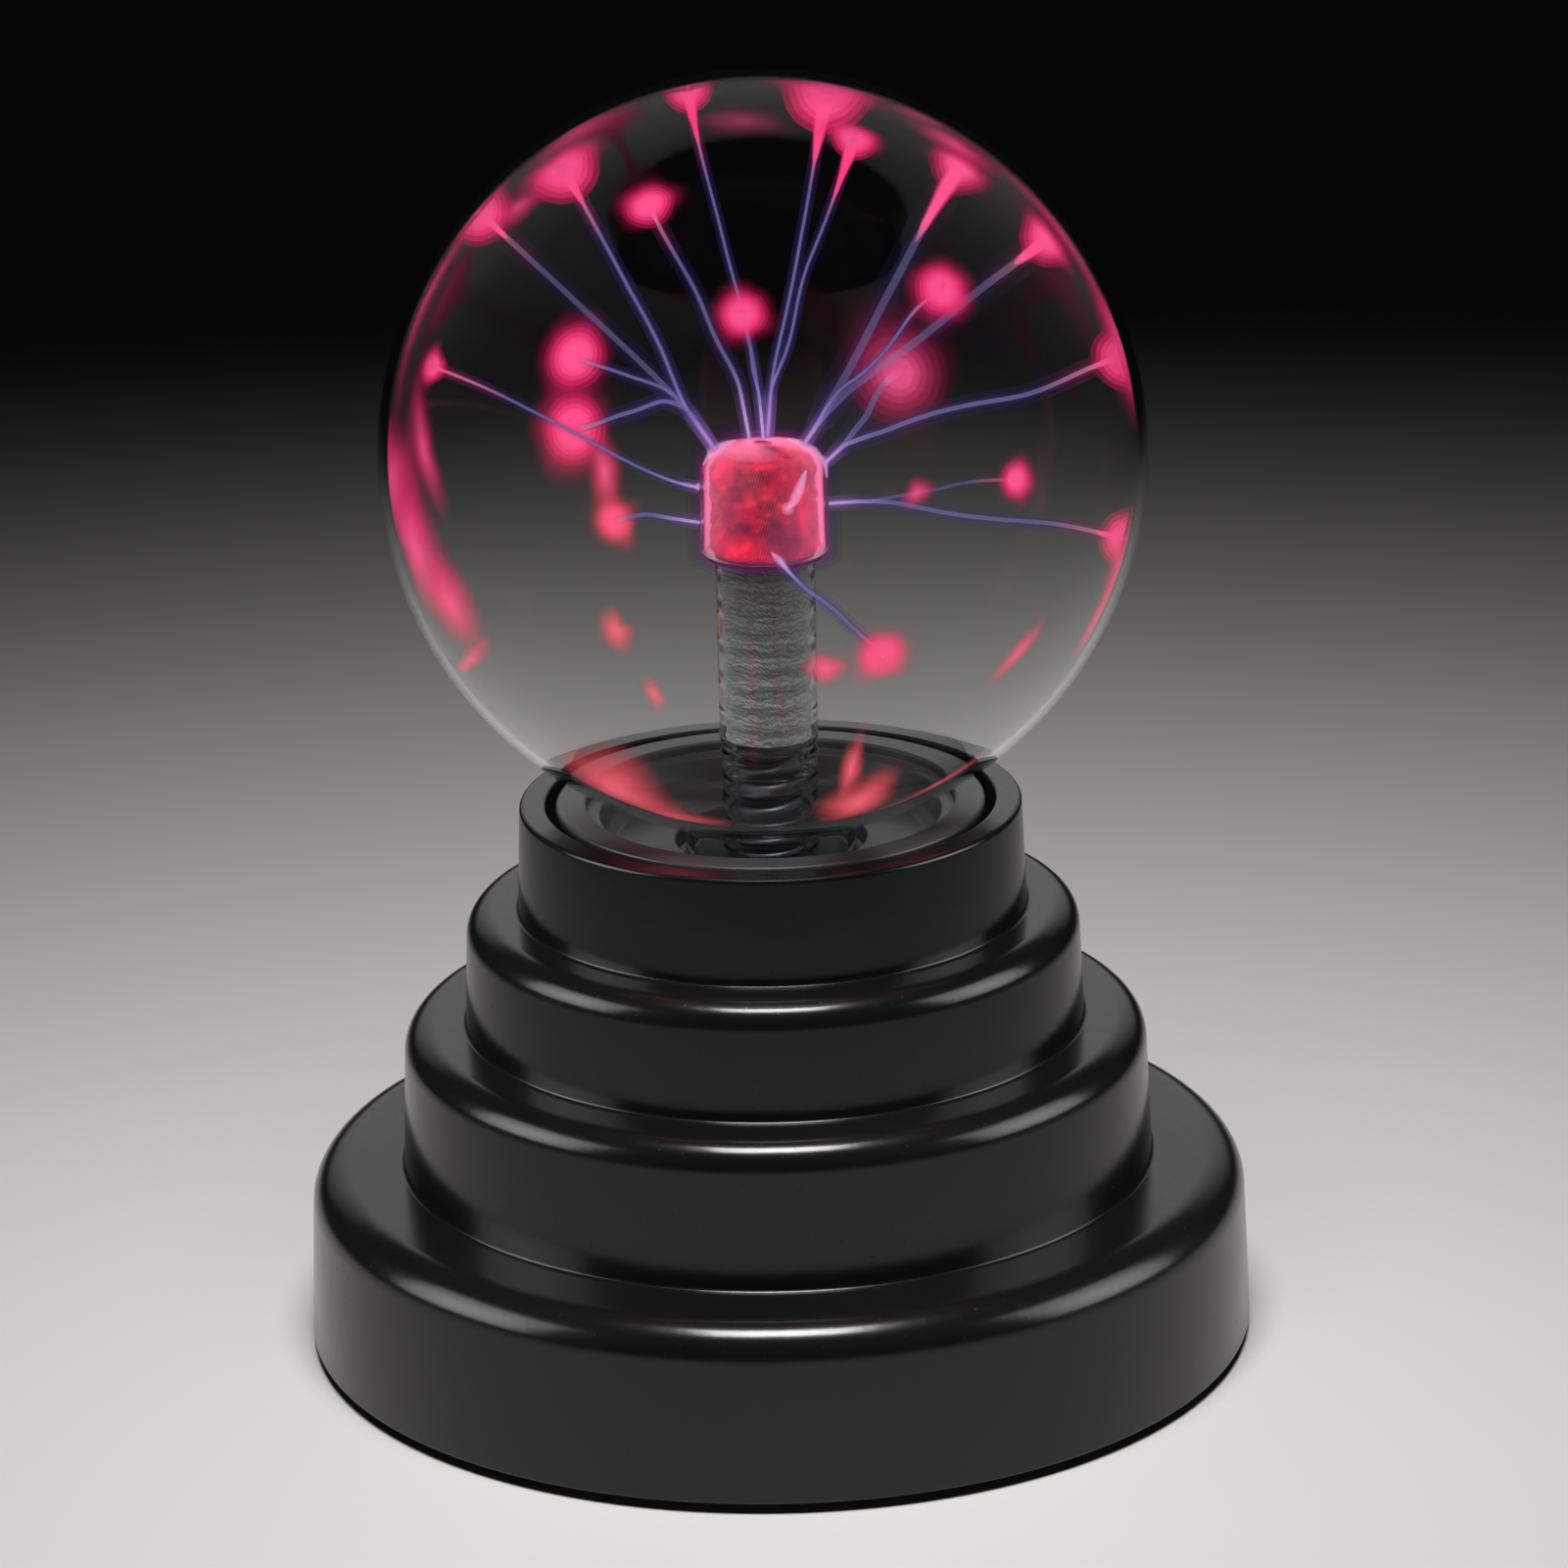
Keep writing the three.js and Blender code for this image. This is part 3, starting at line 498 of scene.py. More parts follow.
def makeCup(material):
    top, ledge, floor, bottom = (cup[k] for k in ("top", "ledge", "floor", "bottom"))
    bore, radius, foot = cup["collar"]
    corners = [
        (cup["radius"], bottom, 0.2), (cup["radius"], top, 0.35), (cup["mouth"], top, 0.3),
        (cup["mouth"], top - 1.1, 0.15), (ledge, top - 1.3, 0.2), (ledge - 0.6, floor + 0.8, 0.5),
        (ledge - 1.6, floor, 0.6), (cup["bore"], floor, 0.25), (cup["bore"], bottom, 0),
        (bore, bottom, 0), (bore, foot, 0.2), (radius, foot, 0.2), (radius, bottom, 0),
    ]
    piece = addPiece("cup", *turned(rounded(corners, 5), 160), material, 40)
    settle(piece, "cup_plastic", "globe_cup")


# Glass

globe = {"radius": 38, "centre": 92.2, "glass": 0.8, "neck": 8.6, "neckFoot": 38.3, "blend": 1.6}


def globeFace(inset):
    # One face of the glass: up the neck, through the small fillet, and over the sphere to its top
    ball = globe["radius"] - inset
    neck = globe["neck"] - inset
    fillet = globe["blend"] + inset
    r = neck + fillet
    z = globe["centre"] - math.sqrt((ball + fillet) ** 2 - r ** 2)
    low = math.atan2(globe["centre"] - z, r)
    points = [(neck, globe["neckFoot"]), (neck, z - 6)]
    for k in range(9):
        a = math.pi - low * k / 8
        points.append((r + fillet * math.cos(a), z + fillet * math.sin(a)))
    for k in range(1, 65):
        a = -low + (math.pi / 2 + low) * k / 64
        points.append((max(ball * math.cos(a), 0), globe["centre"] + ball * math.sin(a)))
    points[-1] = (0, globe["centre"] + ball)
    return points


def makeGlobe(material):
    outline = globeFace(0) + globeFace(globe["glass"])[::-1]
    piece = addPiece("globe", *turned(outline, 144), material, 60)
    return settle(piece, "clear_glass", "globe_envelope")


stem = {
    "radius": 5,
    "wall": 0.5,
    "foot": 35.9,
    "straight": 42,
    "calm": 63,
    "top": 81.7,
    "steps": 150,
    "flare": [(5, 35.9), (5, 36.4), (8.6, 37), (8.6, 38), (5.9, 38.5), (5.1, 40)],
    "tip": [(0, 31.5), (0.7, 32.2), (1.1, 34), (1.1, 37.3), (0, 37.3)],
    "tipX": -6.9,
}


def makeStem(material):
    # Drawn tube, so its outside waves a little; it flares out at the foot, where it is sealed to the neck
    outer = []
    for k in range(stem["steps"] + 1):
        z = stem["straight"] + (stem["top"] - stem["straight"]) * k / stem["steps"]
        rough = 1 if z < stem["calm"] else 0.2
        wave = 0.09 * math.sin(z * 2.6) + 0.05 * math.sin(z * 4.3 + 1) - 0.14
        outer.append((stem["radius"] - 0.02 + rough * wave, z))
    bore = stem["radius"] - stem["wall"]
    tube = turned(stem["flare"] + outer + [(bore, stem["top"]), (bore, stem["foot"])], 64)
    tip = moved(turned(stem["tip"], 24, False), shift=(stem["tipX"], 0, 0))
    piece = addPiece("stem", *gather([tube, tip]), material, 50)
    settle(piece, "clear_glass", "glass_stem")


# Electrode

electrode = {
    "radius": 6.4,
    "foot": 82,
    "top": 94.1,
    "shoulder": 3.2,
    "wall": 0.3,
    "mouth": 4.2,
    "lean": 0.25,
    "crown": 1.1,
}


def makeBulb(material):
    r, low, top, wall = (electrode[k] for k in ("radius", "foot", "top", "wall"))
    side, high = r - electrode["lean"], top - electrode["crown"]
    bend, mouth = electrode["shoulder"], electrode["mouth"]
    outside = rounded([(mouth, low, 0.2), (r, low, 0.3), (r, low + 1.4, 2), (side, high, bend),
                       (0.9, top, 0)], 8, False)
    inside = rounded([(0, top - wall, 0), (0.9, top - wall, 0), (side - wall, high - wall, bend - wall),
                      (r - wall, low + wall, 0.5), (mouth, low + wall, 0.2), (mouth, low, 0)], 8, False)
    piece = addPiece("electrodeBulb", *turned(outside[1:] + [(0, top)] + inside, 72, False), material, 60)
    settle(piece, "electrode_glass", "electrode_bulb")


def denser(points, step=0.22):
    fine = []
    for (r0, z0), (r1, z1) in zip(points, points[1:]):
        pieces = max(1, int(math.hypot(r1 - r0, z1 - z0) / step))
        fine += [(r0 + (r1 - r0) * k / pieces, z0 + (z1 - z0) * k / pieces) for k in range(pieces)]
    return fine + [points[-1]]


wool = {
    "low": 82.4,
    "top": 93.2,
    "side": 5.5,
    "middle": (0, 0, 88),
    "bigFold": (0.42, 1.5),  # how close together, and how deep
    "smallFold": (1.1, 0.7),
    "deepest": 1.5,
}


def makeWool(material):
    # Crumpled wad: a rounded slug whose skin folds in and out
    low, top, side = wool["low"], wool["top"], wool["side"]
    corners = [(0, low, 0), (side, low, 0.5), (side, top - 0.9, 2.4), (0.6, top, 0), (0, top, 0)]
    verts, faces = turned(denser(rounded(corners, 10, False)), 120, False)
    (bigPitch, bigDepth), (smallPitch, smallDepth) = wool["bigFold"], wool["smallFold"]
    crumpled = []
    for v in verts:
        p = Vector(v)
        fold = abs(noise.noise(p * bigPitch)) * bigDepth
        fold += abs(noise.noise(p * smallPitch + Vector((7, 1, 3)))) * smallDepth
        away = (p - Vector(wool["middle"])).normalized()
        crumpled.append(p - away * min(fold, wool["deepest"]) * min(1, 0.25 + (p.z - low) / 3))
    piece = addPiece("electrodeWool", crumpled, faces, material, 80)
    settle(piece, "steel_wool", "electrode_wool")


spring = {"radius": 2.8, "wire": 0.7, "low": 40.2, "high": 81.1, "turns": 18, "stepsPerTurn": 28}


def makeSpring(material):
    steps = spring["turns"] * spring["stepsPerTurn"]
    path = []
    for i in range(steps + 1):
        t = i / steps
        height = spring["low"] + (spring["high"] - spring["low"]) * t
        path.append(Vector(around(spring["radius"], t * spring["turns"] * 2 * math.pi, height)))
    piece = addPiece("feedSpring", *swept(path, [spring["wire"]] * len(path), 12), material, 60)
    settle(piece, "spring_steel", "feed_spring")


sleeve = {
    "radius": 4.26,
    "widest": 4.37,
    "bore": 3.62,
    "low": 63.2,
    "high": 81.5,
    "ribs": 9,
    "ridge": 0.08,
    "crumple": 0.1,
    "rows": 170,
    "columns": 96,
}


def makeSleeve(material):
    # Woven sleeve, drawn in between the turns of the spring and a little crumpled
    rings = []
    for i in range(sleeve["rows"] + 1):
        t = i / sleeve["rows"]
        z = sleeve["low"] + (sleeve["high"] - sleeve["low"]) * t
        rib = sleeve["ridge"] * math.cos(2 * math.pi * sleeve["ribs"] * t)
        row = []
        for k in range(sleeve["columns"]):
            a = 2 * math.pi * k / sleeve["columns"]
            crease = noise.noise(Vector(around(2.2, a, z * 1.6)))
            crease += 0.5 * noise.noise(Vector(around(5, a, z * 4)))
            r = min(sleeve["radius"] + rib + sleeve["crumple"] * crease, sleeve["widest"])
            row.append(around(r, a, z))
        rings.append(row)
    rings += [ring(sleeve["bore"], z, sleeve["columns"]) for z in (sleeve["high"], sleeve["low"])]
    piece = addPiece("coreSleeve", *lofted(rings, True), material, 70)
    settle(piece, "woven_sleeve", "core_sleeve")


def wovenSleeve():
    # Glass-fibre cloth: fine crossed strands, darker where its bump is low
    made = Finish("woven sleeve", (0.16, 0.17, 0.165))
    where = made.place(1)
    over = made.node("TexWave", {"wave_type": "BANDS", "bands_direction": "DIAGONAL"},
                     {"Vector": where, "Scale": 1500, "Distortion": 4, "Detail": 2}, 1)
    rings = made.node("TexWave", {"wave_type": "BANDS", "bands_direction": "Z"},
                      {"Vector": where, "Scale": 520, "Distortion": 9, "Detail": 3, "Detail Scale": 2}, 1)
    mottling = made.speckle(240, 3, (1, 1, 2.5))
    cloth = over * 0.25 + rings * 0.35 + mottling * 0.4
    colour = made.ramp(cloth, (0.25, (0.03, 0.035, 0.033)), (0.55, (0.08, 0.09, 0.086)),
                       (0.85, (0.19, 0.20, 0.195)))
    return made.done(made.surface(
        Base_Color=colour, Roughness=0.45 + cloth * 0.2, Sheen_Weight=0.25,
        Normal=made.bump(cloth, 0.4, 0.0002)))


def glowingWool():
    # Fine wire lit by the discharge, its light painted in as glow: red, with brown and dark noise patches of
    # painted shade for the wad's hollows and creases
    made = Finish("glowing wool", (0.6, 0.03, 0.05))
    patches = made.speckle(230, 2)
    strands = made.speckle(900, 4, (1, 1, 0.5))
    warm = made.speckle(120, 1)
    warmth = patches * 0.8 + strands * 0.2
    red = made.ramp(warmth, (0.40, (0.05, 0.001, 0.002)), (0.5, (0.24, 0.005, 0.008)),
                    (0.66, (0.58, 0.014, 0.028)))
    brown = made.ramp(warmth, (0.38, (0.05, 0.006, 0.003)), (0.62, (0.27, 0.034, 0.012)))
    browning = made.node("MapRange", {}, {"Value": warm, "From Min": 0.45, "From Max": 0.6})
    colour = made.mixed(browning, red, brown)
    return made.done(made.surface(
        Base_Color=colour, Roughness=0.6, Specular_IOR_Level=0.15, Emission_Color=colour,
        Emission_Strength=0.85, Normal=made.bump(strands, 0.8, 0.0005)))


def bulbGlass():
    # The faint pink emission is painted light: the discharge's glow laid into the glass
    tint = (1, 0.88, 0.92)
    made = Finish("bulb glass", tint)
    glass = made.surface(
        Base_Color=rgb(*tint), Roughness=0.04, IOR=1.15, Transmission_Weight=1.0,
        Emission_Color=rgb(1, 0.12, 0.2), Emission_Strength=0.02)
    material = made.clearInShadow(glass, tint)
    material.cycles.emission_sampling = "NONE"
    return material


# The discharge: threads of light from the electrode to the glass. A thread leaves the bulb at its
# root, passes the gather point that it shares with its neighbours, and runs on to its own foot.

roots = {
    "crown": ((0.1, -1.2, 94.2), (-0.2, -1.3, 98.2)),
    "crownRight": ((0.5, -0.8, 94.2), (0.9, -0.9, 98.5)),
    "crownLeft": ((-1.3, -0.6, 94.1), (-2.0, -0.7, 98.5)),
    "leftShoulder": ((-4.7, -1.4, 93.2), (-6.9, -1.6, 96.7)),
    "leftSide": ((-6.4, -0.9, 89.2), (-8.0, -1.2, 89.7)),
    "leftLow": ((-6.4, 0.2, 85.3), (-9.0, 0.4, 85.7)),
    "rightShoulder": ((4.1, -1.2, 93.5), (5.6, -1.5, 95.8)),
    "rightFork": ((6.1, -0.8, 91.4), (7.8, -0.8, 93.0)),
    "rightSide": ((6.4, -0.6, 87.2), (9.2, -0.8, 87.4)),
    "frontLow": ((1.4, -6.45, 83.2), (2.3, -7.9, 82.4)),
}
# A strand has its root, its foot's place in degrees (turn from the front towards +X, and rise), the
# foot's size and glow, its own brightness and thickness, the length of its flare, and its waver
Strand = namedtuple("Strand", "root turn rise size glow bright thick flare waver")
threads = [Strand(*values) for values in (
    ("crown", -112, 79, 2.5, 0.95, 0.85, 0.8, 6, 0.5),
    ("crownRight", 95, 79, 4.4, 1.0, 0.85, 0.9, 8, 0.5),
    ("crownRight", 41, 67, 2.3, 1.0, 0.85, 0.85, 8, 0.6),
    ("crown", -3, 36, 2.3, 0.95, 0.8, 0.8, 2.5, 0.3),
    ("crownLeft", -159, 31, 2.7, 0.85, 0.5, 1.3, 3.5, 0.5),
    ("leftShoulder", -68, 57, 3.7, 1.0, 0.95, 1.1, 5, 0.5),
    ("leftShoulder", -99, 41, 3.6, 0.85, 0.25, 2.0, 3, 0.3),
    ("leftSide", -66, 21, 1.7, 0.8, 0.75, 0.8, 2, 0.3),
    ("leftShoulder", -148, 4, 3.5, 0.85, 0.75, 1.1, 4, 0.4),
    ("leftShoulder", -147, -8, 3.6, 1.0, 0.8, 1.4, 4, 0.7),
    ("leftLow", -152, -24, 2.2, 0.8, 0.45, 1.5, 2.5, 0.3),
    ("rightShoulder", 36, 37, 2.7, 1.0, 0.95, 0.9, 2.5, 0.9),
    ("rightShoulder", 130, 43, 3.2, 0.5, 0.24, 2.8, 10, 0.4),
    ("rightShoulder", 114, 30, 3.1, 0.7, 0.24, 2.8, 5, 0.4),
    ("rightFork", 91, 14, 3.4, 0.85, 0.6, 1.7, 3, 1.3),
    ("rightFork", 157, -1, 5.4, 0.18, 0.3, 2.2, 8, 0.5),
    ("rightSide", 80, -12, 3.0, 0.85, 0.5, 1.5, 3, 0.7),
    ("rightSide", 41, 7, 1.9, 0.7, 0.25, 1.0, 2, 0.4),
    ("frontLow", 18, -17, 2.4, 1.0, 0.85, 1.1, 3, 0.4),
)]
# Light on the glass with no strand of its own: turn, rise, width, height, brightness, slant
patches = [
    (-126, 36, 3.0, 2.4, 0.5, 0), (-8, 74, 4.0, 2.4, 0.14, 0), (-77, 1, 7.5, 5.5, 0.95, 10),
    (-66, -7, 5.5, 7.0, 0.95, 25), (-57, -14, 4.2, 4.4, 0.85, 35), (-58, -24, 0.8, 6.6, 0.7, -57),
    (-62, 9, 2.0, 6.0, 0.5, 40), (-145, -42, 1.6, 2.0, 0.9, 0), (-146, -55, 0.9, 1.9, 0.7, 10),
    (23, 8, 1.5, 1.1, 0.6, 30), (9, -18, 1.9, 1.5, 0.8, -20), (44, -21, 1.2, 3.4, 0.7, -45),
    (74, -15, 4.5, 4.2, 0.9, 0), (69, -21, 2.6, 5.0, 0.8, -30), (-38, -49, 5.2, 7.6, 1.0, -20),
    (-30, -60, 5.0, 3.0, 0.8, 0), (22, -52, 3.0, 5.5, 1.0, 0), (16, -40, 1.0, 4.6, 0.8, 5),
    (55, -57, 6.5, 2.2, 0.8, 25), (100, 32, 4.0, 13.0, 0.3, -20), (-100, 25, 3.0, 11.0, 0.3, 20),
    (78, 58, 2.8, 4.2, 0.5, 0), (150, 12, 2.6, 2.8, 0.4, 0), (-118, 58, 6.0, 6.0, 0.3, 0),
    (-152, -16, 1.6, 4.5, 0.6, 0), (84, 18, 6.0, 6.0, 0.9, -15), (118, 60, 5.0, 3.5, 0.25, 0),
    (-98, 62, 3.0, 3.0, 0.4, 0),
]
thread = {
    "core": 0.13,
    "halos": [(0.29, 0.22), (0.6, 0.11)],  # radius and how much light
    "steps": 60,
    "sides": 8,
    "trunk": 0.12,  # share of its steps from the root to the gather point
    "leave": 0.12,  # how far it runs straight on from there, as a share of its reach
    "arrive": 0.16,  # how far it runs square to the glass
    "waver": 1.5,
}
glassInside = globe["radius"] - globe["glass"] - 0.22
heart = Vector((0, 0, globe["centre"]))


def towards(turn, rise):
    a, e = math.radians(turn), math.radians(rise)
    return Vector((math.sin(a) * math.cos(e), -math.cos(a) * math.cos(e), math.sin(e)))


def threadPath(line):
    start, fork = (Vector(p) for p in roots[line.root])
    out = towards(line.turn, line.rise)
    end = heart + out * glassInside
    reach = end - fork
    first = fork + (fork - start).normalized() * reach.length * thread["leave"]
    second = end - out * reach.length * thread["arrive"] - reach * thread["leave"]
    trunk = int(thread["trunk"] * thread["steps"])
    points = [start.lerp(fork, i / trunk) for i in range(trunk)]
    seed = threads.index(line) * 3.1
    for i in range(thread["steps"] - trunk + 1):
        t = i / (thread["steps"] - trunk)
        s = 1 - t
        p = fork * s ** 3 + first * 3 * s * s * t + second * 3 * s * t * t + end * t ** 3
        shake = noise.noise_vector(Vector((t * 2.6, seed, 0)))
        points.append(p + shake * line.waver * thread["waver"] * math.sin(math.pi * t))
    return points


def paint(piece, name, values):
    layer = piece.data.attributes.new(name, "FLOAT", "POINT")
    layer.data.foreach_set("value", values)


def makeThreads(name, radius, material):
    parts, along, power = [], [], []
    sides = thread["sides"]
    for line in threads:
        path = threadPath(line)
        steps = [i / thread["steps"] for i in range(len(path))]
        # Thin at the root, thicker along its way, and opening a little at the glass
        radii = [radius * (1.15 + (line.thick - 1) * min(1, t * 4) + 0.6 * max(0, t - 0.85)) for t in steps]
        parts.append(swept(path, radii, sides))
        for t in steps:
            along += [t] * sides
            power += [line.bright + 0.3 * max(0, 1 - t * 5)] * sides
    piece = addPiece(name, *gather(parts), material, 80)
    paint(piece, "along", along)
    paint(piece, "power", power)
    settle(piece)


flare = {
    "sides": 22,
    "shells": [(1.0, 0.07), (0.85, 0.11), (0.7, 0.17), (0.56, 0.28), (0.43, 0.42), (0.3, 0.6)],  # size, light
    "gap": 0.3,  # between the glass and the outermost shell
    "step": 0.06,  # and from each shell to the next
    "brightest": 0.9,
}


def flareShape(line, shrink):
    # The puff of light where a strand opens out onto the glass, as the thread's own tail and a dome
    path = threadPath(line)
    size, end = line.size * shrink, path[-1]
    length = max(line.flare * 1.1, line.size * 1.3)
    fine = refined([p for p in path if (p - end).length < length], 4)
    radii = []
    for p in fine:
        d = (p - end).length
        tail = 0.13 * line.thick * (0.4 + 0.6 * shrink) + 0.6 * size * math.exp(-d / (line.flare * 0.35))
        fade = min(1, (length - d) / (0.25 * length))
        dome = size * math.sqrt(max(0, 1 - (d / size) ** 2))
        radii.append(max(0.05, ((tail * fade) ** 3 + dome ** 3) ** (1 / 3)))
    return fine, radii


def heldIn(point, limit):
    off = point - heart
    return heart + off * min(1, limit / max(off.length, 1e-6))


def makeFlares(material):
    parts, warmth, power = [], [], []
    for line in threads:
        for level, (shrink, amount) in enumerate(flare["shells"]):
            limit = glassInside - flare["gap"] - flare["step"] * level
            path, radii = flareShape(line, shrink)
            verts, faces = swept(path, radii, flare["sides"])
            parts.append(([heldIn(v, limit) for v in verts], faces))
            warmth += [1 - shrink] * len(verts)
            # A narrowing tail holds less gas to look through, so it glows harder along its way
            reach = (path[0] - path[-1]).length
            for p in path:
                far = (p - path[-1]).length
                fade = min(1, 2 * (reach - far) / reach)
                shine = line.glow * amount * (1 + 2 * min(1, far / line.size))
                power += [min(flare["brightest"], shine) * fade] * flare["sides"]
    piece = addPiece("flares", *gather(parts), material, 80)
    paint(piece, "warmth", warmth)
    paint(piece, "power", power)
    settle(piece)


patch = {"rings": 10, "sides": 36, "thick": 0.18, "taper": 0.08, "ragged": 0.28, "spread": 1.5}


def patchShape(turn, rise, width, height, slant, seed):
    # A soft-edged lens of light lying on the inside of the glass
    out = towards(turn, rise)
    right = Vector(around(1, math.radians(turn), 0))
    top = out.cross(right)
    if top.z < 0:
        top.negate()
    a = math.radians(slant)
    right, top = right * math.cos(a) + top * math.sin(a), top * math.cos(a) - right * math.sin(a)
    shares = [i / patch["rings"] for i in range(patch["rings"] + 1)]
    inner = [(t, glassInside - patch["thick"] + patch["taper"] * t) for t in shares]
    outer = [(t, glassInside - patch["taper"] * t) for t in shares]
    rings, shine = [], []
    for t, depth in inner + outer[::-1]:
        row = []
        for k in range(patch["sides"] if t else 1):
            b = 2 * math.pi * k / patch["sides"]
            edge = t * (1 + patch["ragged"] * noise.noise(Vector(around(1.2, b, seed))))
            across = right * math.cos(b) * width * edge + top * math.sin(b) * height * edge
            row.append(heart + (out * glassInside + across).normalized() * depth)
        rings.append(row)
        shine += [1 - t] * len(row)
    return (*lofted(rings), shine)


def makePatches(material):
    parts, shine, power = [], [], []
    ends = [(line.turn, line.rise, line.size * 1.1, line.size * 1.1, line.glow * 0.75, 0) for line in threads]
    spread = patch["spread"]
    for seed, (turn, rise, width, height, strength, slant) in enumerate(ends + patches):
        shape = patchShape(turn, rise, width * spread, height * spread, slant, seed * 2.7)
        parts.append(shape[:2])
        shine += shape[2]
        power += [strength] * len(shape[2])
    piece = addPiece("glassGlow", *gather(parts), material, 80)
    paint(piece, "shine", shine)
    paint(piece, "power", power)
    settle(piece)


def lowness(made):
    # 0 at the height of the electrode and above, 1 at the bottom of the globe
    height = made.node("SeparateXYZ", {}, {"Vector": made.node("TexCoord", output="Object")}, 2)
    return 1 - made.node("MapRange", {}, {"Value": height, "From Min": 0.070, "From Max": 0.089})


def threadCore():
    def colour(made):
        return made.ramp(made.painted("along"), (0.0, (0.80, 0.46, 0.84)), (0.12, (0.44, 0.29, 0.68)),
                         (0.3, (0.19, 0.165, 0.38)), (0.74, (0.17, 0.15, 0.33)), (0.9, (0.60, 0.22, 0.34)),
                         (1.0, (1.0, 0.10, 0.28)))
    return glow("thread core", colour, 1.0, lambda made: made.painted("power") * 0.8)


def threadHalo(name, amount):
    def colour(made):
        return made.ramp(made.painted("along"), (0.0, (0.30, 0.13, 0.46)), (0.16, (0.06, 0.045, 0.20)),
                         (0.75, (0.03, 0.02, 0.12)), (0.92, (0.35, 0.02, 0.11)))
    return glow(name, colour, 1.0, lambda made: made.painted("power") * amount)


def flareGlow():
    def colour(made):
        fresh = made.ramp(made.painted("warmth"), (0.0, (0.75, 0.01, 0.11)), (0.25, (1.0, 0.06, 0.23)),
                          (0.6, (1.0, 0.14, 0.35)))
        return made.mixed(lowness(made) * 0.8, fresh, rgb(0.86, 0.10, 0.13))
    return glow("flare glow", colour, 1.15, lambda made: made.painted("power"))


def patchGlow():
    def colour(made):
        shine = made.painted("shine")
        fresh = made.ramp(shine, (0.0, (0.12, 0.0, 0.02)), (0.25, (0.50, 0.008, 0.08)),
                          (0.55, (0.86, 0.035, 0.18)), (1.0, (1.0, 0.10, 0.30)))
        salmon = made.ramp(shine, (0.0, (0.45, 0.03, 0.05)), (0.4, (0.80, 0.08, 0.11)),
                           (1.0, (0.95, 0.15, 0.20)))
        return made.mixed(lowness(made), fresh, salmon)

    def opacity(made):
        shine = made.painted("shine")
        wisps = made.speckle(150, 2)
        return made.painted("power") * (shine ** 1.5) * (0.5 + wisps * 0.8)
    return glow("patch glow", colour, 1.0, opacity)


def bulbSkin(gap):
    r, low, top = electrode["radius"] + gap, electrode["foot"] - gap * 0.3, electrode["top"] + gap
    shoulder = (r - 0.2, top - electrode["crown"], 3.3 + gap)
    return rounded([(0, low, 0), (r, low, 0.3), shoulder, (0.9, top, 0), (0, top, 0)], 8, False)


# Skins of light that cling to the bulb: gap, how much light, colour
aura = [
    (0.08, 0.012, (1.0, 0.30, 0.55)),
    (0.4, 0.09, (0.16, 0.01, 0.18)),
    (0.8, 0.07, (0.05, 0.004, 0.08)),
    (1.3, 0.05, (0.02, 0.002, 0.04)),
]


def makeAura():
    for i, (gap, amount, tint) in enumerate(aura):
        material = glow("aura %d" % (i + 1), lambda made: rgb(*tint), 1.0, lambda made: amount)
        settle(addPiece("bulbAura_%d" % (i + 1), *turned(bulbSkin(gap), 64, False), material, 80))


fringe = {
    "count": 128,
    "thick": 0.03,
    "inset": 0.36,
    "depth": 0.5,
    "middle": (0, 0, 87.5),
    "twist": 0.05,  # radians for each mm of height
    "swirl": (1.3, 4.5),  # how far the fins turn in at the crown, and the radius where that begins
}


def makeFringe():
    # Upright fins of light between the wool and the bulb, so that its edges burn brighter than its face
    skin = denser(bulbSkin(-fringe["inset"]))
    face = [p for p in skin if p[0] > 0.9 and p[1] > electrode["foot"] + 0.5]
    middle = Vector(fringe["middle"])
    swirl, crown = fringe["swirl"]
    parts = []
    for k in range(fringe["count"]):
        rings = []
        for r, z in face:
            a = 2 * math.pi * k / fringe["count"] + fringe["twist"] * (z - 88) + swirl * max(0, 1 - r / crown)
            across = Vector((-math.sin(a), math.cos(a), 0)) * fringe["thick"] / 2
            outer = Vector(around(r, a, z))
            inner = middle + (outer - middle) * (1 - fringe["depth"] / (outer - middle).length)
            rings.append([outer - across, outer + across, inner + across, inner - across])
        parts.append(capped(rings))
    material = glow("fringe", lambda made: rgb(1.0, 0.23, 0.42), 1.8, lambda made: 0.04)
    settle(addPiece("bulbFringe", *gather(parts), material, 80))


sparks = {
    "streaks": [  # size and course
        (0.55, [(2.3, -6.15, 88.3), (2.9, -6.0, 88.9), (3.6, -5.6, 90.3), (4.2, -5.0, 91.8)]),
        (0.45, [(-5.9, -1.3, 91.6), (-5.1, -1.5, 92.8), (-4.0, -1.5, 93.6), (-2.6, -1.5, 94.1)]),
        (0.45, [(6.3, -0.9, 89.9), (6.1, -0.9, 91.3), (5.0, -1.2, 92.8), (3.6, -1.3, 93.7),
                (2.4, -1.3, 94.1)]),
        (0.4, [(0.6, -6.4, 84.0), (1.4, -6.5, 83.2), (2.2, -7.6, 82.5)]),
        (0.3, [(-6.45, -0.6, 88.8), (-6.45, -0.9, 89.6)]),
    ],
    "spots": [(0.62, (2.35, -6.1, 88.3)), (0.36, (2.35, -6.1, 88.3)), (0.6, (5.9, -1.0, 91.6)),
              (0.62, (-4.9, -1.5, 93.0))],
    "layers": (1.0, 0.75, 0.5, 0.25),
}


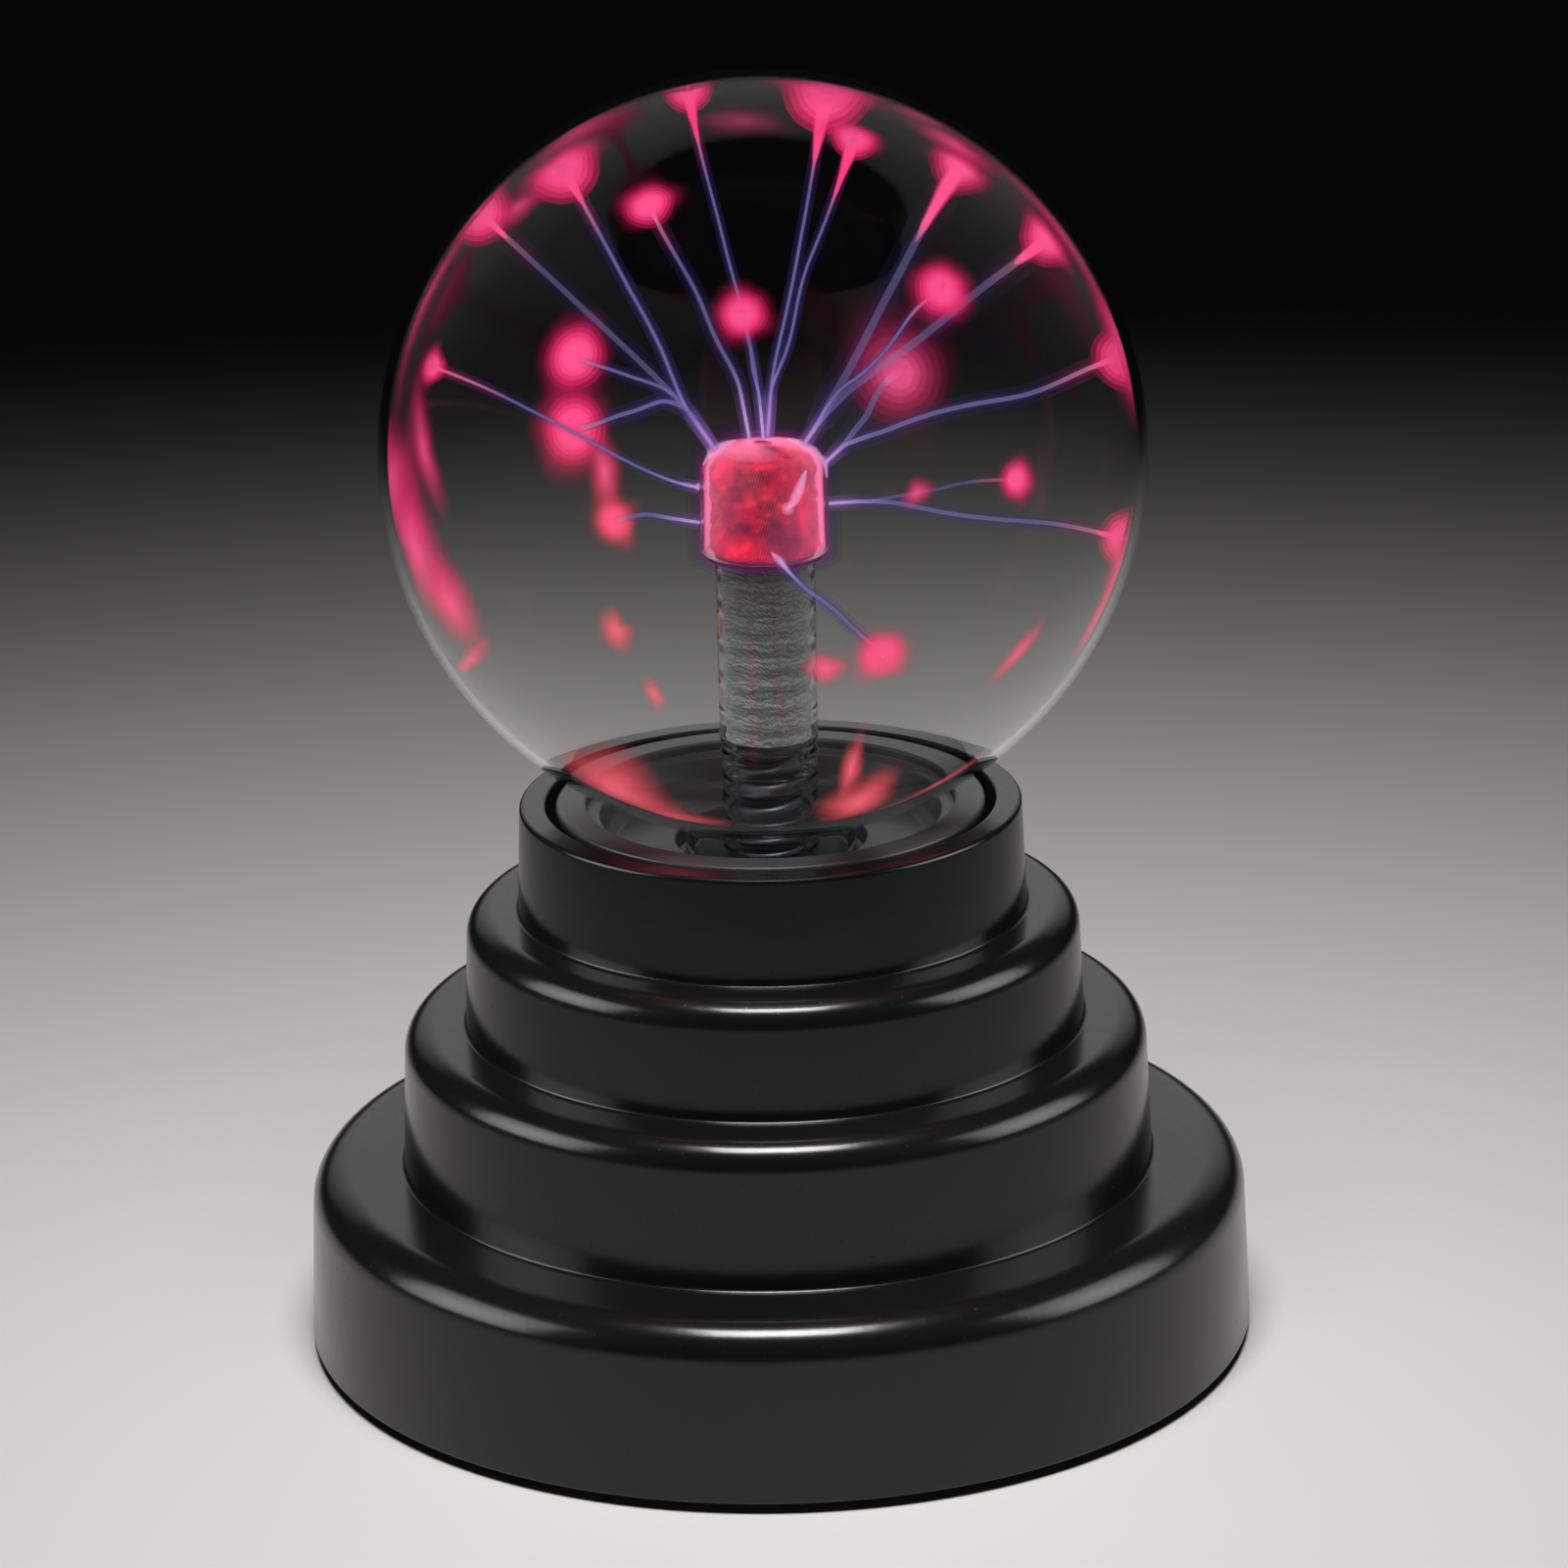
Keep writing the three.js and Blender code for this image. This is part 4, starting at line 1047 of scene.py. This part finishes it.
def makeSparks():
    # Where the strands touch the bulb: bright spots and short crawling streaks
    parts = []
    for size, course in sparks["streaks"]:
        fine = refined([Vector(p) for p in course], 6)
        swell = [math.sin(math.pi * (0.04 + 0.92 * i / len(fine))) for i in range(len(fine))]
        for grow in sparks["layers"]:
            parts.append(swept(fine, [size * grow * s for s in swell], 10))
    blob = turned([(0, -1), (0.5, -0.86), (0.86, -0.5), (1, 0), (0.86, 0.5), (0.5, 0.86), (0, 1)], 20, False)
    for size, place in sparks["spots"]:
        parts.append(([Vector(v) * size + Vector(place) for v in blob[0]], blob[1]))
    material = glow("sparks", lambda made: rgb(1.0, 0.44, 0.78), 1.1, lambda made: 0.12)
    settle(addPiece("bulbSparks", *gather(parts), material, 80))


# Bottom: cover, door, feet, screws

feet = {"radius": 4.5, "height": 1.9, "ring": 38, "dimple": (1.2, 1.5, 0.35)}


def makeFeet(material):
    radius, height = feet["radius"], feet["height"]
    inner, outer, depth = feet["dimple"]
    rim = rounded([(0, 0, 0), (radius, 0, 0.45), (radius, height, 0.1), (0, height, 0)], 6, False)[1:]
    sole = turned([(0, depth), (inner, depth), (outer, 0)] + rim, 48, False)
    for i in range(4):
        part = moved(sole, shift=around(feet["ring"], i * math.pi / 2, 0))
        node = "foot_%d" % (i + 1)
        settle(addPiece(node + "_piece", *part, material, 40), "rubber", node)


# A screw's size is the radius and height of its head, then the radius and length of its shank
screws = {
    "cover": {"size": (2.8, 1.7, 1.15, 9), "height": 1.4, "ring": 40.5, "turns": (45, 135, 225, 315)},
    "cup": {"size": (2, 1.3, 0.95, 6), "height": 47.1, "ring": 20.05, "turns": (30, 150, 270)},
    "board": {"size": (2, 1.3, 0.9, 4.6), "height": 22.6, "halfX": 18, "halfY": 20},
    "recess": 0.28,  # half the width of the cross in the head
}


def screwParts(head, headHeight, shank, length):
    # Points up: a pan head and a shank with a coarse thread
    corners = [(0, 0, 0), (head, 0, headHeight * 0.55), (head, headHeight, 0.08), (shank, headHeight, 0)]
    outline = rounded(corners, 6, False)
    turns = int(length / 0.75)
    for i in range(turns):
        z = headHeight + 0.3 + i * (length - 1.2) / turns
        outline += [(shank - 0.14, z), (shank, z + 0.28), (shank - 0.14, z + 0.5)]
    outline += [(shank * 0.8, headHeight + length - 0.9), (0, headHeight + length)]
    return turned(outline, 40, False)


def makeScrew(node, place, size, material, flip=False):
    piece = addPiece(node + "_piece", *screwParts(*size), material, 35)
    bar, depth, slim = size[0] * 0.6, size[1] * 0.6, screws["recess"]
    cross = block(-bar, bar, -slim, slim, -1, depth), block(-slim, slim, -bar, bar, -1, depth)
    carve(piece, "DIFFERENCE", *cross)
    if flip:
        piece.data.transform(Matrix.Rotation(math.pi, 4, "X"))
    piece.data.transform(Matrix.Translation(Vector(place) * mm))
    smooth(piece.data, 35)
    settle(piece, "spring_steel", node)


def makeScrews(material):
    for kind in ("cover", "cup"):
        group = screws[kind]
        for i, turn in enumerate(group["turns"]):
            place = around(group["ring"], math.radians(turn), group["height"])
            makeScrew("%s_screw_%d" % (kind, i + 1), place, group["size"], material)
    board = screws["board"]
    for i in range(4):
        x = board["halfX"] * (1 if i > 1 else -1)
        y = board["halfY"] * (1 if i % 2 else -1)
        makeScrew("board_screw_%d" % (i + 1), (x, y, board["height"]), board["size"], material, True)


# Cells

cell = {"length": 44.5, "radius": 5.25, "axis": 8.4, "pitch": 10.9, "sleeve": (0.03, 0.965)}


def cellFinish():
    made = Finish("cell sleeve", (0.2, 0.27, 0.33))
    along = made.painted("along")
    grain = made.speckle(300, 2)
    scuffs = made.speckle(80, 4, (1, 4, 1))
    low, high = cell["sleeve"]
    bare, dark, teal = (0.62, 0.62, 0.6), (0.02, 0.06, 0.11), (0.10, 0.24, 0.30)
    colour = made.ramp(along, (0.0, bare), (low, (0.02, 0.05, 0.09)), (0.62, dark),
                       (0.64, (0.55, 0.57, 0.58)), (0.66, teal), (0.94, teal), (high, bare), steps="CONSTANT")
    steel = made.ramp(along, (0.0, (1, 1, 1)), (low, (0, 0, 0)), (high, (1, 1, 1)), steps="CONSTANT")
    return made.done(made.surface(
        Base_Color=colour, Metallic=steel * 0.8 + 0.15, Roughness=0.28 + scuffs * 0.15, Coat_Weight=0.4,
        Normal=made.bump(grain, 0.08, 0.00005)))


def makeCells(material):
    half, r = cell["length"] / 2, cell["radius"]
    corners = [(0, -half, 0), (2.9, -half, 0.1), (3.2, -half + 0.25, 0.1), (r - 0.5, -half + 0.25, 0.1),
               (r - 0.4, -half + 0.05, 0.15), (r, -half + 0.5, 0.25), (r, half - 1.4, 0.3),
               (r - 0.5, half - 0.9, 0.2), (1.95, half - 0.9, 0.15), (1.9, half, 0.3), (0, half, 0)]
    outline = rounded(corners, 4, False)
    for i in range(4):
        part = turned(outline, 64, False)
        along = [(v[2] + half) / cell["length"] for v in part[0]]
        part = moved(part, -90, "X")
        part = moved(part, 180 * (i % 2), "Z", ((i - 1.5) * cell["pitch"], 0, cell["axis"]))
        node = "battery_%d" % (i + 1)
        piece = addPiece(node + "_piece", *part, material, 35)
        paint(piece, "along", along)
        settle(piece, "cell_jacket", node)


# Power inlet: the sides of its body, then outlines along its own axis

inlet = {
    "body": (3.5, 12.5, 32.5, 41.5, 5.3, 13.7),
    "barrel": [(0, 39), (3.7, 39), (3.7, 43.9), (3.4, 44.3), (0, 44.3)],
    "bore": [(0, 35.5), (2.8, 35.5), (2.8, 44.0), (3.0, 44.4), (3.0, 46), (0, 46)],
    "pin": [(0, 35.3), (0.8, 35.3), (0.8, 42.8), (0.5, 43.3), (0, 43.4)],
}


def makeInlet(material, pinMaterial):
    def facing(outline, segments):
        return moved(turned(outline, segments, False), -90, "X", (rear["inletX"], 0, rear["axis"]))
    piece = addPiece("powerInlet", *block(*inlet["body"]), material)
    carve(piece, "UNION", facing(inlet["barrel"], 64))
    carve(piece, "DIFFERENCE", facing(inlet["bore"], 64))
    smooth(piece.data, 35)
    settle(piece, "component_black", "power_inlet")
    settle(addPiece("inletPin", *facing(inlet["pin"], 24), pinMaterial, 40), "contact_steel")


# Lights and floor

studio = {
    "floor": (0.62, 0.61, 0.59),
    "reach": 1600,
    "world": (0.003, 0.003, 0.0035),
}
Lamp = namedtuple("Lamp", "place aim size power spread")
lamps = {
    "key": Lamp((0, -0.16, 0.60), (0, -0.03, 0), (0.26, 0.20), 0.5, 54),
    "left": Lamp((-0.74, -0.12, 0.34), (0, 0, 0.04), (0.60, 0.55), 0.85, 70),
    "right": Lamp((0.74, -0.08, 0.34), (0, 0, 0.04), (0.60, 0.55), 0.75, 70),
    "rear": Lamp((0, 0.95, 0.36), (0, 0, 0.03), (1.5, 0.42), 0.19, 70),
}


def makeFloor():
    made = Finish("floor", studio["floor"])
    tone = made.speckle(6, 3)
    colour = made.ramp(tone, (0.3, tuple(c * 0.96 for c in studio["floor"])), (0.7, studio["floor"]))
    material = made.done(made.surface(Base_Color=colour, Roughness=0.75, Specular_IOR_Level=0.2))
    floor = addPiece("floor", *disc(studio["reach"], -4, -0.02, 96), material)
    return floor


def addLight(name, skip):
    spec = lamps[name]
    lamp = bpy.data.lights.new(name, "AREA")
    lamp.shape = "RECTANGLE"
    lamp.size, lamp.size_y = spec.size
    lamp.energy = spec.power
    lamp.spread = math.radians(spec.spread)
    light = bpy.data.objects.new(name, lamp)
    scene.collection.objects.link(light)
    light.location = spec.place
    light.visible_camera = False
    light.visible_transmission = False
    light.rotation_euler = (Vector(spec.aim) - light.location).to_track_quat("-Z", "Y").to_euler()
    unlit = bpy.data.collections.new(name + " skips")
    for piece in skip:
        unlit.objects.link(piece)
    light.light_linking.receiver_collection = unlit
    for entry in unlit.collection_objects:
        entry.light_linking.link_state = "EXCLUDE"


def setStage(globePiece):
    floor = makeFloor()
    world = bpy.data.worlds.new("studio")
    scene.world = world
    world.use_nodes = True
    world.node_tree.nodes["Background"].inputs["Color"].default_value = rgb(*studio["world"])
    scene.view_settings.view_transform = "Standard"
    scene.cycles.max_bounces = 16
    scene.cycles.transmission_bounces = 12
    scene.cycles.transparent_max_bounces = 64
    scene.cycles.sample_clamp_indirect = 3
    addLight("key", [globePiece])
    for name in ("left", "right", "rear"):
        addLight(name, [globePiece, floor])


# Making everything

finishes = {
    "housing": blackGloss("housing gloss", 0.004, 0.15),
    # Painted light: the cup's black is about six times lighter than the housing's, standing in for the light
    # the bowl's inner wall reflects
    "cup": blackGloss("cup gloss", 0.025, 0.26, 0.15),
    "plastic": grainedPlastic(),
    "rubber": mattCoat("rubber", (0.02, 0.02, 0.02), 0.7),
    "glass": clearGlass("globe glass", (0.985, 0.99, 0.99), 0.0, 1.14),
    "stemGlass": clearGlass("stem glass", (0.93, 0.95, 0.945), 0.01, 1.45),
    # Painted shade: the spring's steel is made nearly black, for the shade it lies in down the glass neck
    "spring": brightMetal("spring steel", (0.09, 0.095, 0.10), 0.24),
    "screw": brightMetal("screw steel", (0.50, 0.50, 0.50), 0.25),
    "contact": brightMetal("contact plating", (0.66, 0.66, 0.63), 0.2),
    "board": mattCoat("board lacquer", (0.03, 0.13, 0.06), 0.35),
    "ferrite": mattCoat("ferrite", (0.05, 0.047, 0.045), 0.6),
    "winding": brightMetal("enamelled wire", (0.50, 0.20, 0.07), 0.3, (1, 1, 10)),
    "sink": brightMetal("sink metal", (0.62, 0.63, 0.64), 0.32, (1, 6, 1)),
    "can": mattCoat("can sleeve", (0.02, 0.04, 0.11), 0.35),
    "film": mattCoat("film coating", (0.30, 0.03, 0.02), 0.35),
    "red": mattCoat("red insulation", (0.36, 0.015, 0.012), 0.45),
    "black": mattCoat("black insulation", (0.012, 0.012, 0.012), 0.45),
    "white": mattCoat("white insulation", (0.62, 0.60, 0.55), 0.45),
}
# CAD nodes that keep their own shape: finish, slot, and the width of the softened edge
fitted = {
    "bottom_cover": ("plastic", "cover_plastic", 0.2),
    "battery_door": ("plastic", "cover_plastic", 0.2),
    "power_switch_knob": ("plastic", "component_black", 0.12),
    "power_switch_body": ("plastic", "component_black", 0.12),
    "contact_plus": ("contact", "contact_steel", 0.05),
    "contact_minus": ("contact", "contact_steel", 0.05),
    "contact_bridge_rear": ("contact", "contact_steel", 0.05),
    "contact_bridge_front_left": ("contact", "contact_steel", 0.05),
    "contact_bridge_front_right": ("contact", "contact_steel", 0.05),
    "neck_grommet": ("rubber", "rubber", 0.2),
    "stem_boot": ("rubber", "rubber", 0.2),
    "circuit_board": ("board", "circuit_board", 0.08),
    "transformer_core": ("ferrite", "ferrite", 0.15),
    "transformer_winding": ("winding", "winding", 0.08),
    "heat_sink": ("sink", "heat_sink", 0.12),
    "drive_transistor": ("plastic", "component_black", 0.1),
    "capacitor_can": ("can", "can_sleeve", 0.1),
    "capacitor_film": ("film", "film_coating", 0.5),
}
bodies = {"battery_door": "door", "power_switch_knob": "knob"}
leads = {
    "high_voltage_lead": "white",
    "lead_battery_plus": "red",
    "lead_battery_minus": "black",
    "lead_switch": "red",
    "lead_inlet": "black",
}

makeHousing(finishes["housing"])
makeCup(finishes["cup"])
print("base turned")
globePiece = makeGlobe(finishes["glass"])
makeStem(finishes["stemGlass"])
makeBulb(bulbGlass())
makeWool(glowingWool())
makeSpring(finishes["spring"])
makeSleeve(wovenSleeve())
print("glass and electrode made")
makeThreads("threadCores", thread["core"], threadCore())
for i, (radius, amount) in enumerate(thread["halos"]):
    makeThreads("threadHalo_%d" % (i + 1), radius, threadHalo("thread halo %d" % (i + 1), amount))
makeFlares(flareGlow())
makePatches(patchGlow())
makeAura()
makeFringe()
makeSparks()
print("discharge drawn")
makeFeet(finishes["rubber"])
makeScrews(finishes["screw"])
makeCells(cellFinish())
makeInlet(finishes["plastic"], finishes["contact"])
print("feet, screws, cells and inlet made")
for node, (finish, slot, width) in fitted.items():
    # The film capacitor is dipped, so its corners are rounder and need more steps
    steps = 4 if node == "capacitor_film" else 2
    softened(node, finishes[finish], slot, width, bodies.get(node, "base"), steps=steps)
for node, colour in leads.items():
    softened(node, finishes[colour], "insulation_" + colour, 0.05, crease=75)
print("inside fitted")
setStage(globePiece)
print("stage set")
